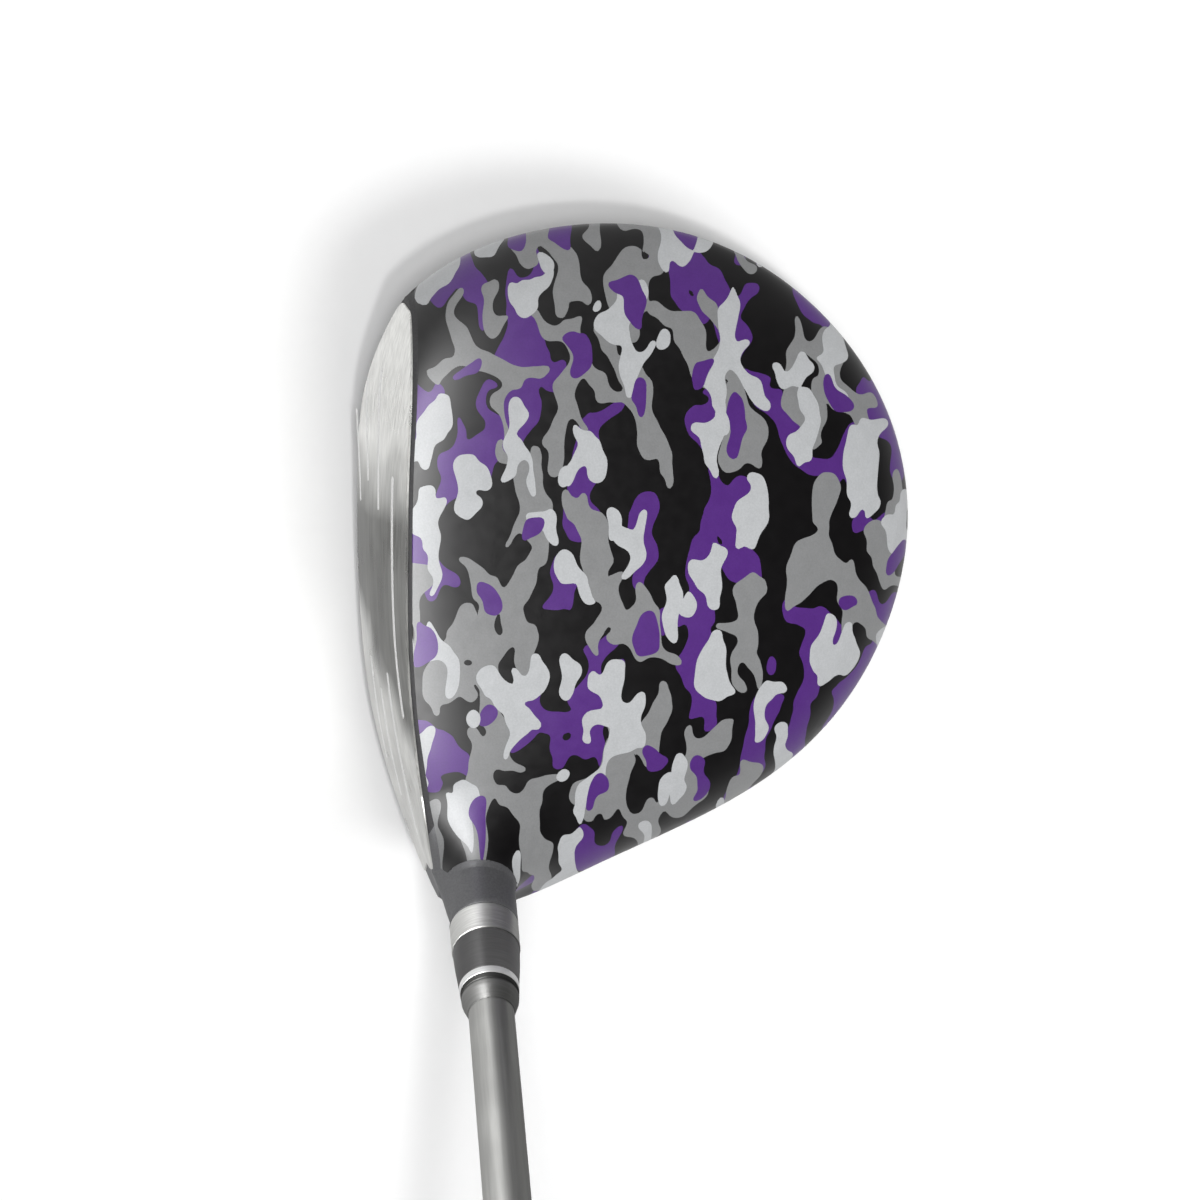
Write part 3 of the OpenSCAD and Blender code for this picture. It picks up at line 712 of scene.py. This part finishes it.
def painted_shell():
    """Closed outer surface of the painted head: sole, rounded front and crown."""
    columns, low_rings, high_rings, arc, steps = 600, 110, 100, 6, 20
    crease = 0.9
    low, low_dead = surface_grid(sole_point, 0.0, crease, columns, low_rings, 0.4, (
        (FOOT, SHAFT, PORT_R), (WEIGHT_PLACE, WEIGHT, WEIGHT_HOLE)))
    high, high_dead = surface_grid(crown_point, FILM, crease, columns, high_rings, 0.4,
                                   ((FOOT, SHAFT, HOSEL_HOLE),))
    u = np.arange(columns) / columns

    def set_on_face(p):
        p[:, 1] = np.where(span[:, 0] > 2, face_y(p[:, 0], p[:, 2]) + FACE_INSET, p[:, 1])

    a0, b0 = low[-columns:], high[-columns:]
    a1 = sole_point(fan_reach(sole_point, u, 0.0, FACE_INSET), u)
    b1 = crown_point(fan_reach(crown_point, u, FILM, FACE_INSET), u, FILM)
    span = np.linalg.norm(b1 - a1, axis=1, keepdims=True)
    way = (b1 - a1) / np.maximum(span, 1e-6)
    cut = np.minimum(crease * 0.8, span * 0.4)
    a2, b2 = a1 + way * cut, b1 - way * cut
    set_on_face(a2)
    set_on_face(b2)
    rows = [bend(a0, a1, a2, k / arc) for k in range(1, arc + 1)]
    for k in range(1, steps):
        rows.append(a2 + (b2 - a2) * (k / steps))
        set_on_face(rows[-1])
    rows += [bend(b2, b1, b0, k / arc) for k in range(arc)]
    front = np.concatenate(rows)
    upper = high.reshape(high_rings, columns, 3)[::-1].reshape(-1, 3)
    upper_dead = high_dead.reshape(high_rings, columns)[::-1].ravel()
    points = np.concatenate([low, front, upper])
    dead = np.concatenate([low_dead, np.zeros(len(front), bool), upper_dead])
    faces = band_faces(low_rings + len(rows) + high_rings, columns, 0, False, dead)
    top = len(points)
    ends = np.concatenate([crown_point(np.zeros(1), np.zeros(1), FILM),
                           sole_point(np.zeros(1), np.zeros(1))])
    points = np.concatenate([points, ends])
    for i in range(columns):
        k = (i + 1) % columns
        faces.append((top - columns + i, top, top - columns + k))
        faces.append((top + 1, i, k))
    middles = np.array([points[list(f)].mean(0) for f in faces])
    behind = middles[:, 1] - face_y(middles[:, 0], middles[:, 2])
    turn = np.arctan2(middles[:, 1] - MIDDLE[1], middles[:, 0] - MIDDLE[0])
    edge = (behind < 3.0) & (middles[:, 2] > 22) & (turn < PAINT_END)
    points = hosel_blend(points)
    obj = new_mesh("painted_shell", points, faces, "head",
                   [gunmetal, edge_paint], 40, parts=edge.astype(int))
    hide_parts("head_body", "crown")


def film_setback(x):
    """Bare painted edge between the face's crease and the film, wider at the heel."""
    return (1.05 + 0.3 * smooth_step((x - 20) / 15) + 0.5 * smooth_step((x - 38) / 8)
            - 0.3 * smooth_step((x - 46) / 5))


def printed_crown():
    """Printed film over the crown, with its own thickness and its hole for the hosel."""
    columns, rings = 700, 139
    points, dead = surface_grid(crown_point, 0.0, film_setback, columns, rings, 0.55,
                                ((FOOT, SHAFT, HOSEL_R + 0.45),))
    faces = band_faces(rings, columns, 0, True, dead)
    middle = len(points)
    points = np.concatenate([points, crown_point(np.zeros(1), np.zeros(1))])
    faces += [(i, middle, (i + 1) % columns) for i in range(columns)]
    flat = points[:, :2].copy()
    points, faces, loop = edge_wall(hosel_blend(points), faces, FILM)
    flat = np.concatenate([flat, flat[loop]])
    fields = {key: read_field(field, flat[:, 0], flat[:, 1])
              for key, field in print_fields(PRINT_SEED).items()}
    obj = new_mesh("printed_crown", points, faces, "head", [film_look], 40,
                   fields)
    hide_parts("crown_film")


# Height at the middle, start and end of each score line, which bow upwards.
SCORE_ROWS = [(17, -35.5, -17.5), (27, -42, -22), (37, -44, -17), (48.5, -24, 22),
              (21.5, 12.5, 33.5), (30, 18, 40), (39, 14, 46)]
SCORE_BOW, SCORE_MIDDLE, SCORE_W, SCORE_DEEP = 140.0, 2.0, 2.0, 0.02


def score_z(height, x):
    """Height of a score line's middle at a width."""
    return height - (x - SCORE_MIDDLE) ** 2 / (2 * SCORE_BOW)


HEEL_TIP = (57.0, 20.0)      # heel end of the bare steel at its foot, from where it leans back


def face_outline(inset):
    """Closed outline of the face in width and height, moved in by inset."""
    u = np.linspace(0.5, 1.02, 4001)
    top = crown_point(reach(crown_point, u, 0.0, 0.0), u)
    low = sole_point(reach(sole_point, u, 0.0, 0.0), u)
    open_here = (top[:, 2] - low[:, 2]) > 0.6
    top, low = top[open_here], low[open_here]
    line = np.concatenate([top[:, [0, 2]], low[::-1][:, [0, 2]]])
    gaps = np.linalg.norm(np.roll(line, -1, 0) - line, axis=1)
    length = np.concatenate([[0], np.cumsum(gaps)])
    even = np.linspace(0, length[-1], 1400, endpoint=False)
    closed = np.concatenate([line, line[:1]])
    line = np.stack([np.interp(even, length, closed[:, k]) for k in (0, 1)], 1)
    line[:, 0] = np.minimum(line[:, 0], HEEL_TIP[0] - (line[:, 1] - HEEL_TIP[1]) * 0.385)
    for _ in range(30):
        line = (np.roll(line, 1, 0) + 2 * line + np.roll(line, -1, 0)) / 4
    tangent = np.roll(line, -3, 0) - np.roll(line, 3, 0)
    normal = np.stack([tangent[:, 1], -tangent[:, 0]], 1)
    normal /= np.linalg.norm(normal, axis=1, keepdims=True)
    if ((line - line.mean(0)) * normal).sum() > 0:
        normal = -normal
    return line + normal * inset


def face_heights(x, outline):
    """Lowest and highest point of the outline at each width."""
    split = [np.argmin(outline[:, 0]), np.argmax(outline[:, 0])]
    rolled = np.roll(outline, -split[0], 0)
    turn = (split[1] - split[0]) % len(outline)
    parts = [rolled[:turn + 1], np.concatenate([rolled[turn:], rolled[:1]])[::-1]]
    ends = []
    for part in parts:
        order = np.argsort(part[:, 0])
        ends.append(np.interp(x, part[order, 0], part[order, 1]))
    return np.minimum(*ends), np.maximum(*ends)


def struck_face():
    """Steel plate with sunk score lines, inside the painted crease."""
    columns, rows, inset, back = 250, 290, 0.55, 1.0
    outline = face_outline(inset)
    left, right = outline[:, 0].min() + 0.03, outline[:, 0].max() - 0.03
    x = (left + right) / 2 - (right - left) / 2 * np.cos(np.linspace(0, math.pi, columns))
    low, high = face_heights(x, outline)
    f = np.linspace(0, 1, rows)[:, None]
    z = low + (high - low) * f
    xs = np.broadcast_to(x, z.shape)
    y = face_y(xs, z)
    for height, start, end in SCORE_ROWS:
        off = np.hypot(z - score_z(height, np.clip(xs, start, end)),
                       xs - np.clip(xs, start, end))
        y = y + SCORE_DEEP * (1 - smooth_step((off - SCORE_W * 0.42) / (SCORE_W * 0.12)))
    front = np.stack([xs, y, z], 2).reshape(-1, 3)
    faces = band_faces(rows, columns, 0, False, None, False)
    loop = np.concatenate([np.arange(columns), np.arange(2, rows) * columns - 1,
                           (rows - 1) * columns + np.arange(columns)[::-1],
                           np.arange(1, rows - 1)[::-1] * columns])
    centre = front[loop].mean(0)
    points, ring = [front], loop
    for out, deep in ((0.06, 0.02), (0.12, 0.08), (0.14, back)):
        edge = front[loop].copy()
        way = edge[:, [0, 2]] - centre[[0, 2]]
        way /= np.linalg.norm(way, axis=1, keepdims=True)
        edge[:, 0] += way[:, 0] * out
        edge[:, 2] += way[:, 1] * out
        edge[:, 1] = face_y(edge[:, 0], edge[:, 2]) + deep
        new = sum(len(p) for p in points) + np.arange(len(loop))
        for i in range(len(loop)):
            k = (i + 1) % len(loop)
            faces.append((int(ring[k]), int(ring[i]), int(new[i]), int(new[k])))
        points.append(edge)
        ring = new
    points = hosel_blend(np.concatenate(points))
    obj = new_mesh("struck_face", points, faces, "head", [face_steel], 30)
    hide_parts("face_cup")


def score_fills():
    """White paint lying in the score lines, with rounded ends."""
    points, faces = [], []
    for height, start, end in SCORE_ROWS:
        count = 90
        along = np.linspace(start, end, count)
        half = (SCORE_W * 0.46) * np.sqrt(np.clip(1 - (1 - np.minimum(
            along - start, end - along) / 0.5).clip(0) ** 2, 0.02, 1))
        first = sum(len(p) for p in points)
        rows = []
        for k in (-1, -0.5, 0, 0.5, 1):
            z = score_z(height, along) + k * half
            y = face_y(along, z) - 0.09 * (1 - k**2) + 0.04 * (abs(k) == 1)
            rows.append(np.stack([along, y, z], 1))
        points.append(np.concatenate(rows))
        faces += band_faces(5, count, first, False, None, False)
    obj = new_mesh("score_fill", hosel_blend(np.concatenate(points)), faces, "head",
                   [score_white])
    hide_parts("score_paint")


def sole_distance(origin, axis, radius, side, segments, start):
    """Distance along an axis at which each point round it meets the sole."""
    _, around = turned_rows([(radius, 0)], segments, origin, axis, side)
    t = np.full(segments, float(start))
    fan = np.arange(4096) / 4096
    edges = rim(fan)
    edge_turn = np.arctan2(edges[:, 1] - MIDDLE[1], edges[:, 0] - MIDDLE[0])
    order = np.argsort(edge_turn)
    for _ in range(40):
        p = origin + t[:, None] * axis + radius * around
        turn = np.arctan2(p[:, 1] - MIDDLE[1], p[:, 0] - MIDDLE[0])
        u = np.interp(turn, edge_turn[order], np.unwrap(fan[order] * TURN) / TURN, period=TURN)
        edge = rim(u)
        s = (np.linalg.norm(p[:, :2] - MIDDLE, axis=1)
             / np.linalg.norm(edge[:, :2] - MIDDLE, axis=1))
        t += (sole_point(s, u)[:, 2] - p[:, 2]) * 0.7 / axis[2]
    return t


def hosel_tube():
    """Painted hosel with its bore, teeth seat recess, bolt seat and port to the sole."""
    segments = 160
    mouth = sole_distance(FOOT, SHAFT, PORT_R, ACROSS, segments, 3.0)
    outline = [(HOSEL_R, 34.0), (HOSEL_R, HOSEL_END - 0.35), (HOSEL_R - 0.1, HOSEL_END - 0.1),
               (HOSEL_R - 0.3, HOSEL_END), (5.92, HOSEL_END), (5.92, HOSEL_END - 5.5),
               (5.0, HOSEL_END - 5.5), (5.0, 31.0), (2.8, 31.0), (2.8, 27.5), (PORT_R, 27.5),
               (PORT_R, 14.0), (PORT_R, mouth)]
    flare = [(HOSEL_R, t) for t in np.linspace(48, HOSEL_END - 1.5, 24)]
    outline = outline[:1] + flare + outline[1:]
    rows, around = turned_rows(outline, segments, FOOT, SHAFT, ACROSS)
    front = np.clip(around @ -BACK, 0, 1) ** 12
    for row, (_, t) in zip(rows[:25], outline):
        row += (0.85 * (max(0.0, 66 - t) / 5.7) ** 1.2 * front)[:, None] * around
        steel = face_y(row[:, 0], row[:, 2]) + 0.4 - 4 * smooth_step((row[:, 0] - 50) / 5)
        row[:, 1] = np.maximum(row[:, 1], steel)
    faces = band_faces(len(rows), segments, 0, False)
    obj = new_mesh("hosel_tube", np.concatenate(rows), faces, "head",
                   [gunmetal], 30)
    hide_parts("hosel")


def weight_pocket():
    """Wall, floor and threaded boss that take the rear weight."""
    segments, radius, side = 144, WEIGHT_HOLE, np.array([1.0, 0, 0])
    mouth = sole_distance(WEIGHT_PLACE, WEIGHT, radius, side, segments, 0.0)
    outline = [(radius + 1.2, 3.0), (radius + 1.2, 7.0), (4.2, 7.0), (4.2, 11.6), (2.2, 11.6),
               (2.0, 11.4), (2.0, 5.9), (2.3, 5.6), (radius - 0.5, 5.6), (radius, 5.1),
               (radius, 2.5), (radius, mouth)]
    rows, _ = turned_rows(outline, segments, WEIGHT_PLACE, WEIGHT, side)
    faces = band_faces(len(rows), segments, 0, False)
    obj = new_mesh("weight_pocket", np.concatenate(rows), faces, "head",
                   [casting], 30)
    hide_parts("weight_boss")

painted_shell()
printed_crown()
struck_face()
score_fills()
hosel_tube()
weight_pocket()

# ---- shaft side ----

def replace_lathe(node, name, outline, material, segments=160, angle=30.0):
    obj = lathe(name, outline, "shaft", material, segments, angle=angle)
    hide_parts(node)
    return obj


TIP_R = 4.25         # shaft's tip
replace_lathe("ferrule", "ferrule_body", rounded([
    (TIP_R + 0.05, COLLAR_END + 0.02), (6.3, COLLAR_END + 0.02, 0.12),
    (6.08, COLLAR_END + 4.4, 3.0), (5.6, FERRULE_END, 0.2), (TIP_R + 0.05, FERRULE_END)], 0.05),
    ferrule_black)
replace_lathe("trim_ring", "trim_band", rounded([
    (TIP_R + 0.05, FERRULE_END + 0.02), (5.6, FERRULE_END + 0.02, 0.15),
    (5.56, RING_END, 0.15), (TIP_R + 0.05, RING_END)], 0.05), trim_silver)
replace_lathe("ferrule_cap", "ferrule_end", rounded([
    (TIP_R + 0.05, RING_END + 0.02), (5.45, RING_END + 0.02, 0.1), (5.42, RING_END + 1.1, 0.08),
    (5.28, RING_END + 1.2, 0.05), (5.28, RING_END + 1.45, 0.05), (5.4, RING_END + 1.55, 0.08),
    (5.3, RING_END + 2.6, 0.3), (5.05, CAP_END - 2.0, 1.5), (4.36, CAP_END - 0.05, 0.06),
    (4.34, CAP_END, 0.02), (TIP_R + 0.05, CAP_END)], 0.05), cap_grey)


def indexed_sleeve():
    """Turned sleeve with its brushed collar, bores and row of index teeth."""
    low, inner, tooth_r, teeth = SLEEVE_LOW, TIP_R + 0.05, 5.5, 8
    outline = rounded([
        (2.5, low), (4.55, low, 0.1), (4.95, low + 0.4, 0.1), (4.95, HOSEL_END + 0.06),
        (6.46, HOSEL_END + 0.06, 0.25), (6.5, HOSEL_END + 0.9, 0.6), (6.4, COLLAR_END - 0.75, 0.1),
        (6.46, COLLAR_END - 0.55, 0.1), (6.44, COLLAR_END - 0.02, 0.18),
        (inner, COLLAR_END - 0.02), (inner, SHAFT_LOW - 0.3), (2.5, SHAFT_LOW - 0.3)], 0.05)
    rows, _ = turned_rows(outline, 160, FOOT, SHAFT, ACROSS)
    points = [np.concatenate(rows)]
    faces = closed_ring_faces(len(rows), 160)
    other = np.cross(SHAFT, ACROSS)
    for k in range(teeth):
        turn = TURN * k / teeth
        out = math.cos(turn) * ACROSS + math.sin(turn) * other
        side = np.cross(SHAFT, out)
        start = sum(len(p) for p in points)
        shape = [(4.8, -0.6), (tooth_r, -0.42), (tooth_r, 0.42), (4.8, 0.6)]
        for t, pull in ((HOSEL_END - 5, 0.12), (HOSEL_END - 4.8, 0.0), (HOSEL_END + 0.06, 0.0)):
            points.append(np.array([FOOT + t * SHAFT + (r - pull * (r > 5)) * out + w * side
                                    for r, w in shape]))
        faces += band_faces(3, 4, start)
        faces += [(start + 3, start + 2, start + 1, start), tuple(start + 8 + i for i in range(4))]
    obj = new_mesh("sleeve_collar", np.concatenate(points), faces, "shaft",
                   [collar_steel], 30)
    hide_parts("loft_sleeve")


def shaft_tube():
    """Shaft, even at its tip and butt and tapered between them."""
    low, tip_end, butt_start, high = SHAFT_LOW, 170.0, 840.0, SHAFT_TOP
    bore_r, wall = 2.6, 0.9
    outline = [(bore_r, low), (TIP_R - 0.2, low), (TIP_R, low + 0.3)]
    for t in np.linspace(low + 2, tip_end, 20):
        outline.append((TIP_R, t))
    for t in np.linspace(tip_end, butt_start, 60)[1:]:
        outline.append((TIP_R + (SHAFT_R - TIP_R) * (t - tip_end) / (butt_start - tip_end), t))
    for t in np.linspace(butt_start, high, 30)[1:]:
        outline.append((SHAFT_R, t))
    outline += [(SHAFT_R - wall, high), (SHAFT_R - wall, butt_start), (bore_r, tip_end)]
    replace_lathe("shaft", "shaft_tube", outline, shaft_grey, 96)


def grip_radius(t):
    """Outside of the grip at a distance from its mouth."""
    length = GRIP_TOP - GRIP_LOW
    places = [0, 1, 60, length * 0.72, length - 12, length]
    radii = [8.3, 8.7, 9.2, 11.35, GRIP_R - 0.6, GRIP_R]
    return np.interp(t, places, radii)


def grip_body():
    """Rubber grip with rows of sunk chevron cuts and plain bands."""
    length = GRIP_TOP - GRIP_LOW
    segments, rows = 160, 560
    t = np.linspace(0, length, rows)
    turn = np.linspace(0, TURN, segments, endpoint=False)
    tt, aa = np.meshgrid(t, turn, indexing="ij")
    radius = grip_radius(tt)
    marks = np.zeros_like(tt)
    pitch, cells, plain_bands, cut_deep = 7.0, 12, (10, 11, 24, 25), 0.38
    for row in range(2, int(length / pitch) - 2):
        middle = row * pitch
        if row in plain_bands:
            continue
        shift = 0.5 * (row % 2)
        across = (aa / TURN * cells + shift) % 1.0 - 0.5
        off = np.abs(tt - middle - 5.0 * np.abs(across)) * 0.8
        cut = (1 - smooth_step((off - 0.35) / 0.5)) * smooth_step((0.4 - np.abs(across)) / 0.08)
        marks = np.maximum(marks, cut)
    for place in (12, length - 9):
        marks = np.maximum(marks, 1 - smooth_step((np.abs(tt - place) - 0.5) / 0.5))
    radius = radius - cut_deep * marks
    side, other = ACROSS, np.cross(SHAFT, ACROSS)
    way = np.cos(aa)[..., None] * side + np.sin(aa)[..., None] * other
    points = FOOT + (GRIP_LOW + tt)[..., None] * SHAFT + radius[..., None] * way
    inner_r = SHAFT_R + 0.25
    first = FOOT + GRIP_LOW * SHAFT + inner_r * way[0]
    last = FOOT + GRIP_TOP * SHAFT + inner_r * way[0]
    rows_all = np.concatenate([first[None], points, last[None]])
    faces = closed_ring_faces(len(rows_all), segments)
    obj = new_mesh("grip_sleeve", rows_all.reshape(-1, 3), faces, "shaft",
                   [grip_black], 50)
    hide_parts("grip")


def end_cap():
    """Butt cap with its vent hole and a shallow ring."""
    outline = rounded([
        (1.5, GRIP_TOP - 8.0), (SHAFT_R - 1.05, GRIP_TOP - 8.0), (SHAFT_R - 1.05, GRIP_TOP + 0.1),
        (GRIP_R, GRIP_TOP + 0.1, 0.1), (GRIP_R, CLUB_END - 2.6, 1.0),
        (GRIP_R - 1.6, CLUB_END - 0.25, 1.2), (GRIP_R - 4.4, CLUB_END - 0.05, 0.3),
        (GRIP_R - 4.8, CLUB_END - 0.55, 0.2), (GRIP_R - 6.0, CLUB_END - 0.55, 0.2),
        (GRIP_R - 6.4, CLUB_END - 0.05, 0.3), (2.1, CLUB_END, 0.3), (1.5, CLUB_END - 0.5, 0.2)],
        0.1)
    replace_lathe("grip_end_cap", "grip_butt_cap", outline, grip_black, 144)


indexed_sleeve()
shaft_tube()
grip_body()
end_cap()


# ---- rear weight ----

def weight_disc():
    """Rear weight with the seat of its screw."""
    outline = rounded([
        (3.8, 0.95, 0.15), (WEIGHT_R - 0.75, 0.42, 0.3), (WEIGHT_R - 0.02, 0.95, 0.3),
        (WEIGHT_R - 0.02, WEIGHT_TOP, 0.3), (2.1, WEIGHT_TOP), (2.1, 3.4), (3.8, 3.4)], 0.12)
    obj = lathe("weight_disc", outline, "rear_weight", weight_steel, 144,
                WEIGHT_PLACE, WEIGHT)
    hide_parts("rear_weight")


weight_disc()

# The hidden pieces keep the CAD's mesh and only take a material.
for name, look in (("grip_tape", tape_cream), ("hosel_seat", screw_steel),
                   ("crown_adhesive", glue), ("sole_ribs", casting), ("damping_pad", damping),
                   ("weight_screw", weight_screw_steel), ("hosel_bolt", screw_steel),
                   ("bolt_washer", screw_steel)):
    mesh = frame["nodes"][name].data
    mesh.materials.clear()
    mesh.materials.append(look)

# ---- camera, from the plan view's small tilts ----

camera = bpy.data.objects.new("camera", bpy.data.cameras.new("camera"))
scene.collection.objects.link(camera)
scene.camera = camera
AIM = np.array([3.0, 19.5, 30.0])
DISTANCE, LENS = 744.4, 114.9
TO_FACE, TO_TOE, ROLL = (math.radians(a) for a in (3.79, 5.76, -2.45))
look_back = np.array([-math.tan(TO_TOE), -math.tan(TO_FACE), 1.0])
look_back /= np.linalg.norm(look_back)
right = np.cross(-look_back, np.array([-1.0, 0.0, 0.0]))
right /= np.linalg.norm(right)
up = np.cross(right, -look_back)
rolled = (math.cos(ROLL) * right + math.sin(ROLL) * up,
          -math.sin(ROLL) * right + math.cos(ROLL) * up, look_back)
placing = Matrix.Identity(4)
for row in range(3):
    for column in range(3):
        placing[row][column] = rolled[column][row]
    placing[row][3] = (AIM + DISTANCE * look_back)[row] * MM
camera.matrix_world = placing
camera.data.sensor_width = 36.0
camera.data.lens = LENS
camera.data.clip_start = 0.01
camera.data.clip_end = 20.0

# ---- floor and light ----

KEY, TOP, SIDE, SHEEN, SKY = 11.0, 9.4, 5.3, 110.0, 0.29   # powers of the lamps and the sky

paper = surface("floor_paper", (0.86, 0.86, 0.86), 0.9, 0.0, (300, 300, 300), tone=0.004,
                wear=0.02, bump=0.02, specular=0.1)
floor_mesh = bpy.data.meshes.new("floor")
WIDE = 8.0
floor_mesh.from_pydata([(-WIDE, -WIDE, 0), (WIDE, -WIDE, 0), (WIDE, WIDE, 0), (-WIDE, WIDE, 0)],
                       [], [(0, 1, 2, 3)])
floor = bpy.data.objects.new("floor", floor_mesh)
scene.collection.objects.link(floor)
floor_mesh.materials.append(paper)
floor.visible_glossy = False


def area_light(name, place, aim, size, power, diffuse=True, glossy=True):
    data = bpy.data.lights.new(name, "AREA")
    data.shape = "RECTANGLE"
    data.size, data.size_y = size
    data.energy = power
    lamp = bpy.data.objects.new(name, data)
    scene.collection.objects.link(lamp)
    lamp.location = place
    lamp.rotation_euler = (Vector(aim) - Vector(place)).to_track_quat("-Z", "Y").to_euler()
    lamp.visible_diffuse = diffuse
    lamp.visible_glossy = glossy
    lamp.visible_camera = False
    return lamp


area_light("key", (0.55, 0.6, 1.5), (0, 0.02, 0.02), (0.45, 0.45), KEY, True, False)
area_light("top", (-0.08, -0.04, 1.55), (0, 0.02, 0.02), (0.3, 0.3), TOP, True, False)
area_light("side", (0.15, 0.10, 1.5), (0, 0.02, 0.02), (0.08, 0.08), SIDE, True, False)
area_light("sheen", (0.0, -0.78, 1.3), (0, -0.1, 0.03), (4.5, 0.7), SHEEN, False, True)

world = bpy.data.worlds.new("world")
scene.world = world
world.use_nodes = True
tree = world.node_tree
sky, out = tree.nodes["Background"], tree.nodes["World Output"]
sky.inputs["Color"].default_value = (1, 1, 1, 1)
sky.inputs["Strength"].default_value = SKY
room = new_node(tree, "ShaderNodeBackground", {"Color": (1, 1, 1, 1)})
look_way = new_node(tree, "ShaderNodeTexCoord").outputs["Generated"]
lean = along_way(tree, look_way, (-0.35, -0.42, -0.45))
level = joined(tree, "ADD", ranged(tree, lean, 0.04, 0.6, -0.25, 0.6),
               ranged(tree, parted(tree, look_way)["Z"], 0.4, 0.0, -0.45, -0.08))
tree.links.new(level, room.inputs["Strength"])
paths = new_node(tree, "ShaderNodeLightPath")
mix = new_node(tree, "ShaderNodeMixShader", None, {
    0: paths.outputs["Is Glossy Ray"], 1: sky.outputs[0], 2: room.outputs[0]})
tree.links.new(mix.outputs[0], out.inputs["Surface"])
